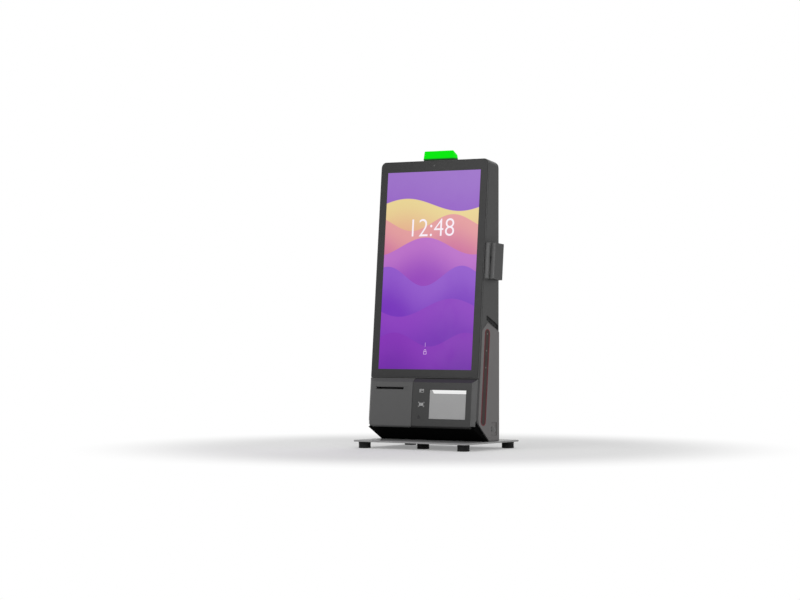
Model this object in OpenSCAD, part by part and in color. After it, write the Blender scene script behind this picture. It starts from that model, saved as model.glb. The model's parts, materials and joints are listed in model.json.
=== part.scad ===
// Countertop self-service kiosk: a leaning portrait touch screen over a receipt printer and a code
// scanner, standing on a steel plate with rubber feet. Millimetres.
// X runs to the right seen from the front, Y to the back and Z up from the counter.

/* [Screen] */
// Width of the lit picture
screen_w = 267.8; // [240:0.1:300]
// Height of the lit picture
screen_h = 476.1; // [440:0.1:505]
// Lean of the glass away from upright, in degrees
tilt = 5; // [3:0.5:7]
// Height of the picture's lower edge above the foot plate
screen_rise = 169.86; // [160:0.01:190]
// Distance of the picture's middle in front of the plate's middle
screen_front = 30.5; // [20:0.5:40]
// Dark border beside the picture
side_border = 21.1; // [15:0.1:30]
// Dark border above the picture
top_border = 26.2; // [24:0.1:40]
// Dark border below the picture
low_border = 20; // [14:0.1:28]
// Thickness of the touch glass
glass_t = 2; // [1.6:0.1:4]
// Thickness of the display module
lcd_t = 10; // [6:0.5:14]
// Frame of the display module above and below its picture
lcd_rim = 8; // [5:0.5:9]
// Wall of the front frame round the display module
frame_ring = 2.1; // [1.5:0.1:4]
// Radius of the head's top corners
head_r = 13.5; // [6:0.5:16]
// Radius of the camera's barrel
cam_r = 4; // [2.5:0.1:4.5]

/* [Shell] */
// Distance from the picture's middle to the back wall's face
body_depth = 66; // [63:0.5:85]
// Wall of the mouldings
wall = 3; // [2:0.1:4]
// Radius of the housing's rear top edge
rear_r = 8; // [5:0.5:12]
// Fall of the head's roof towards the back, in degrees
roof = 10; // [8:0.5:12]
// Thickness of the side covers
cover_t = 4; // [3.5:0.1:6]
// How far the side covers stand out of the head's sides
cover_proud = 0.8; // [0.2:0.1:2]
// Height of the side cover's front corner above the seam
cover_rise = 116.5; // [100:0.5:122]
// Height of the side cover's peak above the seam
peak_rise = 132; // [128:0.5:145]
// Height of the side cover's rear corner above the seam
rear_rise = 111; // [95:0.5:114]
// Shadow line between the front frame and the housing
shadow_gap = 1; // [0.5:0.1:2]
// Width of the light strip in each side cover
strip_w = 22; // [14:0.5:26]
// Length of the light strip
strip_l = 229; // [170:1:232]
// Distance of the light strip's middle behind the glass
strip_d = 29.6; // [26:0.1:34]
// Width of the coloured line round the light strip
strip_ring = 1.8; // [1:0.1:3]
// Pitch of the light dots in the strip
dot_pitch = 40; // [20:1:50]

/* [Lower front] */
// How far the lower panel stands in front of the glass
panel_out = 10.5; // [9:0.1:14]
// Height of the lower panel on the slope
panel_h = 118.5; // [114:0.5:124]
// Distance of the seam between door and scanner panel left of the middle
seam_left = 23.5; // [18:0.5:28]
// Gap between the door and the scanner panel
door_gap = 0.8; // [0.5:0.1:1.5]
// Thickness of the door and the scanner panel
skin = 2.2; // [1.8:0.1:3]
// Radius of the rolled bottom edge that the door turns in
knuckle_r = 5.5; // [5:0.1:6.5]
// Width of the paper slot
slot_w = 80; // [78:0.5:84]
// Height of the paper slot
slot_h = 5; // [4.4:0.1:7]
// Distance of the paper slot from the head's left side
slot_margin = 24.5; // [22:0.5:30]
// Distance of the paper slot's middle below the panel's top
slot_drop = 25.3; // [20:0.1:30]
// Width of the scanner's window
win_w = 103; // [80:0.5:108]
// Height of the scanner's window
win_h = 69; // [50:0.5:75]
// Distance of the scanner's window from the head's right side
win_margin = 25.4; // [18:0.1:32]
// Distance of the scanner window's middle below the panel's top
win_drop = 62.5; // [58:0.5:66]
// Radius of the presence sensor's dot
dot_r = 3.5; // [2:0.1:5]

/* [Printer] */
// Diameter of the full paper roll
roll_d = 76; // [45:1:78]
// Width of the paper
paper_w = 79.5; // [56:0.5:80]
// Radius of the roll's spindle
spindle_r = 6; // [4:0.1:8]
// Radial play of a turning piece on its shaft
play = 0.35; // [0.3:0.05:0.5]
// Radius of the rubber platen
platen_r = 6.5; // [5:0.1:7.5]
// Gear tooth module
gear_m = 0.8; // [0.6:0.05:0.9]
// Teeth of the platen's gear
platen_teeth = 20; // [16:1:24]
// Teeth of the idler gear
idler_teeth = 28; // [24:1:32]
// Teeth of the motor's pinion
pinion_teeth = 12; // [11:1:16]
// Face width of the gears
gear_w = 4; // [3:0.5:6]
// Diameter of the printer's motor
motor_d = 28; // [22:1:32]

/* [Card reader] */
// Height of the card reader
reader_h = 86; // [70:1:110]
// How far its front wall stands out of the head's side
reader_lip = 10; // [8:0.5:14]
// How far its rear block stands out of the head's side
reader_out = 20; // [16:0.5:26]
// Width of the card slot
card_gap = 3.2; // [2.6:0.1:4.5]

/* [Status lamp] */
// Width of the lamp
lamp_w = 81; // [66:1:120]
// Depth of the lamp
lamp_d = 19; // [15:0.5:22]
// Height of the lamp above the head
lamp_h = 24.5; // [20:0.5:35]

/* [Base] */
// Width of the foot plate
plate_w = 326; // [312:1:400]
// Depth of the foot plate
plate_d = 235; // [220:1:300]
// Thickness of the foot plate
plate_t = 4; // [2:0.5:8]
// Corner radius of the foot plate
plate_r = 8; // [3:0.5:20]
// Diameter of a rubber foot
foot_d = 29; // [22:0.5:36]
// Height of a rubber foot
foot_h = 15.5; // [13:0.5:25]
// Inset of the corner feet from the plate's edges
foot_inset = 21; // [18:0.5:30]
// Radius of the counter bolt holes in the plate
bolt_r = 3.25; // [2.25:0.05:4.25]
// Distance between the counter bolt holes across the plate
bolt_x = 236; // [216:1:240]
// Distance between the counter bolt holes from front to back
bolt_y = 190; // [170:1:198]

/* [Power button] */
// Radius of the power button's cap
button_r = 5; // [4:0.1:6]
// Travel of the power button
button_travel = 1.2; // [0.8:0.1:1.4]

/* [Hidden] */
$fn = 64;
// Length of a cutter past the face that it cuts
eps = 1;
// Half length of a cutter that runs through the whole depth
far = 200;
// Room round a screw, a button's cap and a press-in bore
screw_fit = 0.2;
cap_fit = 0.4;
bore_fit = 0.02;

// Head, measured from the middle of the picture
body_z = foot_h + plate_t;
screen_y = -screen_front;
screen_z = body_z + screen_rise + screen_h / 2 * cos(tilt);
head_w = screen_w + 2 * side_border;
half_w = head_w / 2;
s_top = screen_h / 2 + top_border;
s_low = -screen_h / 2 - low_border;
reader_x = half_w + reader_out;
origin_x = (reader_x - max(plate_w / 2, half_w + cover_proud)) / 2;

// Depth and height of a point that lies d behind the glass and s up its slope
function ky(d, s) = screen_y + d * cos(tilt) + s * sin(tilt);
function kz(d, s) = screen_z - d * sin(tilt) + s * cos(tilt);
// Depth, at height z, of the plane that lies d behind the glass
function line_y(d, z) = ky(d, (z - screen_z + d * sin(tilt)) / cos(tilt));
// Height of the roof's plane at depth y
function roof_z(y) = top_z - (y - roof_y) * tan(roof);

// Front frame and display stack, measured behind the glass
flange_d = 0.4;
glass_ledge = 1.2;
flange_back = glass_t + glass_ledge;
seam_d = flange_back + shadow_gap;
lcd_back = glass_t + lcd_t;
bracket_room = 3;
frame_back = lcd_back + bracket_room;
rib_lap = 4;
glass_edge = 2;
glass_fit = 0.3;
frame_fit = 0.4;
lcd_fit = 0.4;
cam_fit = 0.4;
cam_gap = 1.6;
cam_l = 9;
cam_s = screen_h / 2 + lcd_rim + lcd_fit + cam_r + cam_gap;
lcd_bracket_s = 150;
lcd_bracket_h = 30;

// Shell planes
back_y = screen_y + body_depth;
top_z = kz(seam_d, s_top);
roof_y = ky(seam_d, s_top);
frame_top = s_top - (wall + frame_fit) / cos(roof - tilt) - (frame_back - seam_d) * tan(roof - tilt);
seam_z = kz(frame_back, s_low);
cover_in = half_w + cover_proud - cover_t;
low_in = cover_in - wall;
lcd_w = 2 * (low_in - frame_fit - frame_ring - lcd_fit);
lcd_h = screen_h + 2 * lcd_rim;
floor_in = 25.5;
floor_y = screen_y + floor_in;

// Lower panel, measured up the slope
panel_top = s_low - 1;
panel_low = panel_top - panel_h;
hinge_d = -panel_out + knuckle_r;
hinge_s = panel_low + knuckle_r;
hinge_y = ky(hinge_d, hinge_s);
hinge_z = kz(hinge_d, hinge_s);
hinge_gap = 0.5;
trunnion_r = 1.8;
trunnion_in = 0.3;
ear_r = 3.2;
ear_w = 4;
ear_side = 0.5;
ear_in = 1;
ear_left = -half_w + panel_out + ear_in;
ear_right = -seam_left - ear_w - 1.5;
door_back = seam_d - 0.6;
door_right = -seam_left - door_gap / 2;
panel_left = -seam_left + door_gap / 2;
// Rear face of the rolled bottom edge, its height and the hollow's start above the hinge
roll_back = hinge_d + 4;
roll_rise = 11;
hollow_rise = 3 * skin;
bevel_shift = skin * tan(22.5);
slot_x = -half_w + slot_margin;
slot_s = panel_top - slot_drop;
recess_w = slot_w + 14;
recess_h = slot_h + 3;
recess_t = 0.9;
tear_h = 5;
tear_t = 1.2;
win_x = half_w - win_margin - win_w / 2;
win_s = panel_top - win_drop;
win_top = win_s + win_h / 2;
win_right = win_x + win_w / 2;
ledge = 4;
pane_fit = 0.2;
pane_t = 1.2;
pane_d = -panel_out + pane_t + 0.2;
bar_h = 8.8;
bar_left = win_x - win_w / 2 + 6;
bar_slant = 5.5;
dot_in = 21.1;
dot_rise = 25.4;
dot_x = panel_left + dot_in;
dot_s = panel_low + dot_rise;
dot_fit = 0.1;
dot_collar = 2;
antenna_in = 8.1;
antenna_x = panel_left + antenna_in;
antenna_w = 35;
antenna_gap = 2.6;
antenna_drop = 18;
antenna_low = dot_s + dot_r + dot_collar + antenna_gap;
board_t = 1.6;

// Chin and side covers
chin_z = hinge_z + 9.7;
lip_y = hinge_y + knuckle_r + hinge_gap;
chin_low = hinge_z - knuckle_r - hinge_gap - 0.1;
chin_toe = floor_y - 8;
// Length of the chin's hollow past its edges
chin_past = 20;
chin_slope = (chin_low - body_z) / (chin_toe - hinge_y);
cover_back = back_y + 1.5;
cover_d = 7.5;
cover_low = 8;
cover_bevel = 6;
cover_lift = 1;
peak_r = 5;
peak_steps = 8;
full_turn = 360;
cover_top_z = seam_z + cover_rise;
peak_z = seam_z + peak_rise - peak_r;
peak_in = 18;
peak_y = screen_y + peak_in;
rear_top_z = seam_z + rear_rise;
strip_s = s_low + 5;
strip_depth = 2.5;
ring_t = 2.3;
lens_t = 2.1;
light_t = 2.2;
light_r = 1.5;
light_fit = 0.1;
light_drop = 11.5;
light_count = 3;

// Slits above the side covers
slit_front = peak_y - 4;
slit_back = back_y - 2;
slit_front_rise = [7, 18.5];
slit_back_rise = [2.5, 16.5];
slit_front_z = [for (rise = slit_front_rise) seam_z + peak_rise + rise];
slit_back_z = [for (rise = slit_back_rise) seam_z + rear_rise + rise];
step_z = slit_front_z[1] + 2.5;
grille_t = 2.5;
grille_in = 0.5;
grille_pitch = 9;
grille_gap = 4;
grille_count = 5;
vent_count = 10;
vent_pitch = 9;
vent_gap = 4;
vent_w = 120;
vent_drop = 150;
wire_r = 4;
speaker_t = 28;
speaker_front = 6;
speaker_low = 2;
speaker_high = 6;
speaker_back = 2;
cone_r = 12;
cone_t = 20;
cone_up = 4;

// Printer
printer_x = slot_x + slot_w / 2;
slot_y = ky(-panel_out, slot_s);
slot_z = kz(-panel_out, slot_s);
sheet = 2;
flange_z = body_z + wall;
deck_z = flange_z + sheet;
roll_behind = 10;
roll_above = 13.8;
roll_y = hinge_y + roll_behind + roll_d / 2;
roll_z = deck_z + roll_above + roll_d / 2;
core_t = 2.5;
core_r = spindle_r + play + core_t;
platen_in = 19.5;
platen_drop = 3.5;
platen_y = slot_y + platen_in;
platen_z = slot_z - platen_drop;
cheek_in = slot_w / 2 + 6;
cheek_t = 2;
cheek_foot = 10;
// Outline of the printer's cheeks: gaps to the floor's front edge and the web, rise at the back,
// room over the platen, and its nose and toe seen from the platen, the roll and the hinge
cheek_front = 5;
cheek_back = 4;
cheek_rise = 34;
cheek_over = 12;
cheek_span = [8, 36];
cheek_nose = [10.5, 24];
cheek_toe = [16, 5];
cheek_right = printer_x + cheek_in + cheek_t;
tie_gap = 4;
tie_d = 22;
tie_behind = 10;
head_gap = 0.4;
head_t = 4;
head_span = [7, 16];
shaft_r = 3;
shaft_over = 4;
spindle_rim = 4;
spindle_rim_t = 3;
gear_x = cheek_right + 2;
gear_end = gear_x + gear_w;
pressure_angle = 20;
tooth_thin = 1.2;
platen_pitch = gear_m * platen_teeth / 2;
idler_pitch = gear_m * idler_teeth / 2;
pinion_pitch = gear_m * pinion_teeth / 2;
idler_way = -60;
pinion_way = -30;
idler_y = platen_y + (platen_pitch + idler_pitch) * cos(idler_way);
idler_z = platen_z + (platen_pitch + idler_pitch) * sin(idler_way);
pinion_y = idler_y + (idler_pitch + pinion_pitch) * cos(pinion_way);
pinion_z = idler_z + (idler_pitch + pinion_pitch) * sin(pinion_way);
idler_turn = idler_way + 180 + 180 / idler_teeth;
pinion_turn = pinion_way + 180 + 180 / pinion_teeth
  - (idler_turn - pinion_way) * idler_teeth / pinion_teeth;
pin_r = 2;
pin_head_r = 3.2;
pin_head_t = 1.3;
pin_gap = 0.5;
motor_x = gear_end + 4.5;
motor_plate_t = 2;
motor_l = 24;
motor_shaft_in = 10;
post_r = 3;
post_in = 3;

// Internal frame
web_in = 11.5;
web_y = back_y - web_in;
web_w = 220;
web_drop = 50;
web_top = top_z - web_drop;
flange_w = 2 * low_in - 4;
base_screw_x = 95;
base_screw_r = 2.5;
nut_h = 4;
screw_head = 2;
screw_over = 2;
nut_r = 5;
rear_screw_x = 90;
rear_screw_r = 1.5;
rear_screw_rise = 30;
rear_screw_drop = 91.25;
rear_screw_low = seam_z + rear_screw_rise;
rear_screw_high = top_z - rear_screw_drop;
rear_screw_z = [rear_screw_low, (rear_screw_low + rear_screw_high) / 2, rear_screw_high];
rear_boss_r = 5;
rear_screw_in = 4;
rear_head_t = 1.8;

// Card reader, measured behind the glass
reader_d = 4.6;
lip_t = 6.8;
block_d = reader_d + lip_t + card_gap;
reader_back = 54;
reader_base = 2.5;
reader_low = -21;
reader_bevel = 1.5;
reader_round = 2.4;
head_in_x = half_w + reader_base + 1;
head_w_x = 7;
head_depth = 8;
head_s = [reader_low + reader_h / 2 - 9, reader_low + reader_h / 2 + 11];

// Status lamp
lamp_y = back_y - rear_r + 1 - lamp_d / 2;
lamp_front = lamp_y - lamp_d / 2;
gasket_h = 3;
lamp_wall = 2.2;
lamp_slope = 10.5;
lamp_flat = 4;
lamp_edge = [1.5, 2];
lamp_flare = 3.5;
lamp_base_in = 1;
led_w = 4;
led_h = 1.8;
led_in = [14.5, 26.5];
led_x = [lamp_w / 2 - led_in[0], lamp_w / 2 - led_in[1]];

// Base
foot_x = plate_w / 2 - foot_inset;
foot_y = plate_d / 2 - foot_inset;
mid_foot_in = 25;
mid_foot_y = screen_y - mid_foot_in;
FEET = [[-foot_x, -foot_y], [foot_x, -foot_y], [-foot_x, foot_y], [foot_x, foot_y], [0, mid_foot_y]];
foot_bevel = 1;
foot_screw_r = 2.5;
foot_screw_l = 10;
foot_head_h = 1.8;
foot_head_r = foot_screw_r + foot_head_h;
socket_r = 1.6;
socket_h = 1.4;

// Electronics
standoff_h = 10;
board_y = web_y - standoff_h;
board_rise = 272;
board_z = seam_z + board_rise;
board_half_x = 85;
board_half_z = 60;
board_hole_in = 7;
standoff_r = 3;
stud_r = 1.5;
// Heat sink, memory and sockets on the board: span across, span up and height
sink_x = [-25, 25];
sink_z = [-15, 35];
sink_h = 10;
memory_x = [45, 51];
memory_z = [-40, 40];
memory_h = 5;
sockets_x = [-70, -30];
sockets_z = [-58, -42];
sockets_h = 9;
supply_d = 38;
supply_half_x = 52;
supply_rise = 30;
supply_h = 130;
supply_z = [seam_z + supply_rise, seam_z + supply_rise + supply_h];
cable_hole = [50, 24];
cable_x = 55;
cable_rise = [20, 18];
scan_z = kz(0, win_s);
scan_in = 22;
scan_y = line_y(scan_in, scan_z);
scan_half_x = 28;
scan_half_z = 18;
scan_depth = 30;
scan_lens_r = 8;
scan_lamp_r = 5;
scan_lamp_x = 18;
bracket_half = 18;
bracket_h = 26;
bracket_front = 2;

// Recess with the power button and the data socket, on the right side
port_in = 21;
port_y = back_y - port_in;
port_rise = 29;
port_z = body_z + port_rise;
port_w = 26;
port_h = 32;
port_t = 2.5;
port_floor = half_w + cover_proud - port_t;
button_y = port_y - 5;
rim_gap = 0.5;
rim_t = 2;
rim_over = 2;
switch_gap = 0.8;
switch_d = 11;
switch_half = 11;
usb_y = port_y + 8;
usb_w = 6;
usb_h = 14;
usb_l = 8;
usb_skin = 0.6;
tongue_t = 1.5;
tongue_h = 11;

// Rear cover and power inlet
hatch_half_x = 50;
hatch_rise = 30;
hatch_h = 70;
hatch_z = [body_z + hatch_rise, body_z + hatch_rise + hatch_h];
hatch_lap = 6;
hatch_rim_t = 2;
hatch_slot_rise = 42;
hatch_slot_half = 40;
hatch_slot_h = 3;
hatch_slot_pitch = 6;
hatch_slots = 4;
hatch_rim_in = 1;
inlet_w = 30;
inlet_h = 23;
inlet_rise = 20;
inlet_z = hatch_z[0] + inlet_rise;
inlet_in = 22;
inlet_mouth = [12.5, 8.5];
inlet_mouth_d = 17;
inlet_pins = [[-7, -2], [0, 2], [7, -2]];
inlet_pin = [1, 2];
inlet_pin_back = 7;

// Moves the symmetry plane so that the middle of the outline is at zero
module place() {
  translate([-origin_x, 0, 0]) children();
}

// Glass frame: X across, Y behind the glass, Z up the slope
module tilted() {
  translate([0, screen_y, screen_z]) rotate([-tilt, 0, 0]) children();
}

// Draws a depth and height outline out from x0 to x1
module yz_slab(x0, x1) {
  translate([x0, 0, 0]) rotate([90, 0, 90]) linear_extrude(x1 - x0) children();
}

// Draws a width and height outline out from y0 to y1
module xz_slab(y0, y1) {
  translate([0, y1, 0]) rotate([90, 0, 0]) linear_extrude(y1 - y0) children();
}

// Box from its low corner to its high corner
module box(low, high) {
  translate(low) cube(high - low);
}

// Rod along X
module x_rod(x0, x1, y, z, r) {
  translate([x0, y, z]) rotate([0, 90, 0]) cylinder(r = r, h = x1 - x0);
}

// Rod along Y
module y_rod(y0, y1, x, z, r) {
  translate([x, y0, z]) rotate([-90, 0, 0]) cylinder(r = r, h = y1 - y0);
}

module rounded_rect(w, h, r) {
  square([w - 2 * r, h], center = true);
  square([w, h - 2 * r], center = true);
  for (sx = [-1, 1], sy = [-1, 1])
    translate([sx * (w / 2 - r), sy * (h / 2 - r)]) circle(r);
}

// Rectangle with round top corners only
module arch(w, low, high, r) {
  translate([-w / 2, low]) square([w, high - low - r]);
  translate([-w / 2 + r, low]) square([w - 2 * r, high - low]);
  for (sx = [-1, 1]) translate([sx * (w / 2 - r), high - r]) circle(r);
}

// Stadium standing on end
module stadium(w, l) {
  square([w, l - w], center = true);
  for (sz = [-1, 1]) translate([0, sz * (l - w) / 2]) circle(w / 2);
}

// Mirrors a right-hand piece to both sides
module both_sides() {
  children();
  mirror([1, 0, 0]) children();
}

// Base

module base_screw_spots() {
  for (sx = [-1, 1], y = [floor_y + 9, web_y - 6]) translate([sx * base_screw_x, y, 0]) children();
}

module plate_hole(r) {
  translate([0, 0, foot_h - eps]) cylinder(r = r, h = plate_t + 2 * eps);
}

module base_plate() color([0.62, 0.62, 0.63]) difference() {
  translate([0, 0, foot_h]) linear_extrude(plate_t) rounded_rect(plate_w, plate_d, plate_r);
  for (p = FEET) translate([p[0], p[1], 0]) {
    plate_hole(foot_screw_r + screw_fit);
    translate([0, 0, body_z - foot_head_h])
      cylinder(r1 = foot_screw_r + screw_fit, r2 = foot_head_r + screw_fit + eps, h = foot_head_h + eps);
  }
  base_screw_spots() plate_hole(base_screw_r + screw_fit);
  for (sx = [-1, 1], sy = [-1, 1]) translate([sx * bolt_x / 2, sy * bolt_y / 2, 0]) plate_hole(bolt_r);
}

module feet() color([0.05, 0.05, 0.05]) for (p = FEET) translate([p[0], p[1], 0]) difference() {
  union() {
    cylinder(r1 = foot_d / 2 - foot_bevel, r2 = foot_d / 2, h = foot_bevel);
    translate([0, 0, foot_bevel]) cylinder(d = foot_d, h = foot_h - foot_bevel);
  }
  translate([0, 0, foot_h - foot_screw_l - eps])
    cylinder(r = foot_screw_r + bore_fit, h = foot_screw_l + 2 * eps);
}

module foot_screws() color([0.62, 0.62, 0.63]) for (p = FEET) translate([p[0], p[1], 0]) difference() {
  union() {
    translate([0, 0, foot_h - foot_screw_l]) cylinder(r = foot_screw_r, h = foot_screw_l + plate_t);
    translate([0, 0, body_z - foot_head_h])
      cylinder(r1 = foot_screw_r, r2 = foot_head_r, h = foot_head_h);
  }
  translate([0, 0, body_z - socket_h]) cylinder(r = socket_r, h = socket_h + eps);
}

module base_screws() color([0.5, 0.5, 0.5]) base_screw_spots() {
  translate([0, 0, foot_h - wall]) cylinder(r = base_screw_r + screw_head, h = wall);
  translate([0, 0, foot_h]) cylinder(r = base_screw_r, h = plate_t + wall + sheet + nut_h + screw_over);
}

module spine() color([0.55, 0.56, 0.57]) difference() {
  union() {
    box([-web_w / 2, web_y, flange_z], [web_w / 2, web_y + sheet, web_top]);
    box([-flange_w / 2, floor_y + 3, flange_z], [flange_w / 2, web_y + sheet, deck_z]);
    base_screw_spots() translate([0, 0, deck_z]) cylinder(r = nut_r, h = nut_h);
  }
  base_screw_spots() translate([0, 0, flange_z - eps])
    cylinder(r = base_screw_r + screw_fit, h = sheet + nut_h + 2 * eps);
  box([-hatch_half_x - 2 * hatch_lap, web_y - eps, hatch_z[0] - hatch_lap],
      [hatch_half_x + 2 * hatch_lap, web_y + sheet + eps, hatch_z[1] + hatch_lap]);
  for (sx = [-1, 1], z = [supply_z[1] + cable_rise[0], board_z + board_half_z + cable_rise[1]])
    translate([sx * cable_x, web_y + sheet / 2, z + cable_hole[1] / 2])
      cube([cable_hole[0], sheet + 2 * eps, cable_hole[1]], center = true);
  rear_screw_spots() y_rod(web_y - eps, web_y + sheet + eps, 0, 0, rear_screw_r + screw_fit);
  board_spots() y_rod(web_y - eps, web_y + sheet + eps, 0, 0, stud_r + bore_fit);
}

module rear_screw_spots() {
  for (sx = [-1, 1], z = rear_screw_z) translate([sx * rear_screw_x, 0, z]) children();
}

module rear_screws() color([0.2, 0.2, 0.2]) rear_screw_spots() {
  y_rod(web_y - rear_screw_in, back_y, 0, 0, rear_screw_r);
  y_rod(back_y, back_y + rear_head_t, 0, 0, 2 * rear_screw_r);
}

// Head

// Side view of the head, drawn in by inset at the back and top and let out past the front and bottom
module head_profile(inset) {
  out = 3 * inset;
  mid = [back_y - rear_r, roof_z(back_y - rear_r) - rear_r / cos(roof)];
  polygon([[line_y(seam_d, seam_z) - out, seam_z - out], [back_y - inset, seam_z - out],
    [back_y - inset, mid[1]], mid + (rear_r - inset) * [sin(roof), cos(roof)],
    [roof_y - out, roof_z(roof_y - out) - inset / cos(roof)]]);
  translate(mid) circle(rear_r - inset);
}

// Front view of the head, drawn out along the roof's fall and drawn in by inset
module roof_arch(inset) {
  translate([0, roof_y, top_z]) rotate([-roof, 0, 0]) xz_slab(-far, far)
    arch(head_w - 2 * inset, -top_z, -inset, head_r - inset);
}

// Depth of the lower slanted edge at height z
function diag_y(z) = floor_y + (line_y(seam_d, chin_z) - floor_y) * (z - body_z) / (chin_z - body_z);

// Angle at which a line from p touches the peak's round, on the side given by way
function peak_angle(p, way) =
  let (out = p - [peak_y, peak_z]) atan2(out[1], out[0]) + way * acos(peak_r / norm(out));

module cover_outline() {
  low_z = chin_z - cover_low;
  front_z = chin_z + cover_low;
  front_top = [line_y(cover_d, cover_top_z) + cover_bevel / 4, cover_top_z];
  rear_top = [cover_back - 2, rear_top_z + 1];
  start = peak_angle(front_top, -1) + full_turn;
  turn = (peak_angle(rear_top, 1) - start) / peak_steps;
  polygon(concat([[line_y(cover_d, front_z), front_z],
    [line_y(cover_d, cover_top_z - cover_bevel), cover_top_z - cover_bevel], front_top],
    [for (i = [0:peak_steps]) [peak_y, peak_z] + peak_r * [cos(start + i * turn), sin(start + i * turn)]],
    [rear_top, [cover_back, rear_top_z - 1.5], [cover_back, body_z + cover_lift],
    [floor_y - cover_lift, body_z + cover_lift], [diag_y(low_z), low_z], [diag_y(low_z) - 3.5, chin_z]]));
}

module slit_outline() {
  polygon([[slit_front, slit_front_z[0]], [slit_back, slit_back_z[0]],
    [slit_back, slit_back_z[1]], [slit_front, slit_front_z[1]]]);
}

// Inside of the head: wide above the side covers' pockets and narrow below
module head_cavity() {
  intersection() {
    yz_slab(-half_w, half_w) head_profile(wall);
    roof_arch(wall);
    box([-half_w, -far, step_z], [half_w, far, top_z]);
  }
  intersection() {
    yz_slab(-low_in, low_in) head_profile(wall);
    box([-half_w, -far, 0], [half_w, far, step_z + eps]);
  }
}

// Rib behind the front frame, with the display module's window
module head_rib() {
  intersection() {
    yz_slab(-half_w + eps, half_w - eps) head_profile(eps);
    roof_arch(eps);
    box([-low_in - eps, -far, seam_z], [low_in + eps, far, top_z]);
    tilted() difference() {
      box([-half_w, frame_back, s_low], [half_w, frame_back + wall, s_top]);
      box([-lcd_w / 2 + rib_lap, frame_back - eps, -lcd_h / 2 - rib_lap],
          [lcd_w / 2 - rib_lap, frame_back + wall + eps, lcd_h / 2 + rib_lap]);
    }
  }
}

module rear_housing() color([0.13, 0.13, 0.135]) difference() {
  union() {
    difference() {
      intersection() {
        yz_slab(-half_w, half_w) head_profile(0);
        roof_arch(0);
      }
      head_cavity();
      both_sides() yz_slab(cover_in, half_w + eps) cover_outline();
    }
    head_rib();
    rear_screw_spots() y_rod(web_y + sheet, back_y - wall + eps / 2, 0, 0, rear_boss_r);
  }
  both_sides() yz_slab(low_in - eps, half_w + eps) slit_outline();
  rear_screw_spots() y_rod(web_y, back_y + eps, 0, 0, rear_screw_r + screw_fit);
  for (i = [0:vent_count - 1])
    translate([-vent_w / 2, back_y - wall - eps, top_z - vent_drop + i * vent_pitch])
      cube([vent_w, wall + 2 * eps, vent_gap]);
  lamp_wire_hole(wall);
}

module front_frame() color([0.06, 0.06, 0.065]) tilted() difference() {
  union() {
    xz_slab(flange_d, flange_back) arch(head_w, s_low, s_top, head_r);
    xz_slab(flange_back, frame_back)
      arch(2 * (low_in - frame_fit), s_low + 1, frame_top, head_r - wall - eps);
  }
  xz_slab(-eps, glass_t)
    arch(head_w - 2 * (glass_edge - glass_fit), s_low + glass_edge - glass_fit,
         s_top - glass_edge + glass_fit, head_r - glass_edge + glass_fit);
  box([-lcd_w / 2 - lcd_fit, -eps, -lcd_h / 2 - lcd_fit],
      [lcd_w / 2 + lcd_fit, frame_back + eps, lcd_h / 2 + lcd_fit]);
  y_rod(0, frame_back + eps, 0, cam_s, cam_r + cam_fit);
}

module touch_glass() color([0.03, 0.03, 0.035]) tilted() xz_slab(0, glass_t)
  arch(head_w - 2 * glass_edge, s_low + glass_edge, s_top - glass_edge, head_r - glass_edge);

module lcd_panel() color([0.35, 0.15, 0.6]) tilted()
  box([-lcd_w / 2, glass_t, -lcd_h / 2], [lcd_w / 2, lcd_back, lcd_h / 2]);

module lcd_brackets() color([0.6, 0.6, 0.6]) tilted() for (sz = [-1, 1])
  translate([0, lcd_back + bracket_room / 2, sz * lcd_bracket_s])
    cube([lcd_w + 2 * lcd_fit, bracket_room, lcd_bracket_h], center = true);

module camera_module() color([0.1, 0.1, 0.12]) tilted() y_rod(glass_t, glass_t + cam_l, 0, cam_s, cam_r);

// Lower body

// Holes of the power button and the data socket, through from x0 to x1
module port_holes(x0, x1) {
  x_rod(x0, x1, button_y, port_z, button_r + cap_fit);
  box([x0, usb_y - usb_w / 2, port_z - usb_h / 2], [x1, usb_y + usb_w / 2, port_z + usb_h / 2]);
}

module lower_casing() color([0.12, 0.12, 0.125]) difference() {
  yz_slab(-half_w, half_w) polygon([
    [line_y(seam_d, seam_z), seam_z], [back_y, seam_z], [back_y, body_z], [floor_y, body_z],
    [line_y(seam_d, chin_z), chin_z]]);
  box([-low_in, -far, flange_z], [low_in, back_y - wall, seam_z + eps]);
  both_sides() yz_slab(cover_in, half_w + eps) cover_outline();
  base_screw_spots() translate([0, 0, body_z - eps])
    cylinder(r = base_screw_r + screw_fit, h = wall + 2 * eps);
  box([-hatch_half_x, back_y - wall - eps, hatch_z[0]], [hatch_half_x, back_y + eps, hatch_z[1]]);
  port_holes(low_in - eps, half_w);
}

module chin_outline() {
  polygon([[hinge_y, chin_low], [chin_toe, body_z], [floor_y, body_z],
    [line_y(seam_d, chin_z), chin_z], [lip_y, chin_z], [lip_y, hinge_z]]);
}

module chin_inside() {
  inner_y = lip_y + wall;
  inner_z = chin_low - chin_slope * (inner_y - hinge_y) + wall * sqrt(1 + chin_slope * chin_slope);
  past_y = floor_y + chin_past;
  past_z = chin_z + chin_past;
  polygon([[inner_y, inner_z], [inner_y + (inner_z - flange_z) / chin_slope, flange_z],
    [past_y, flange_z], [past_y, past_z], [inner_y, past_z]]);
}

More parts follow.
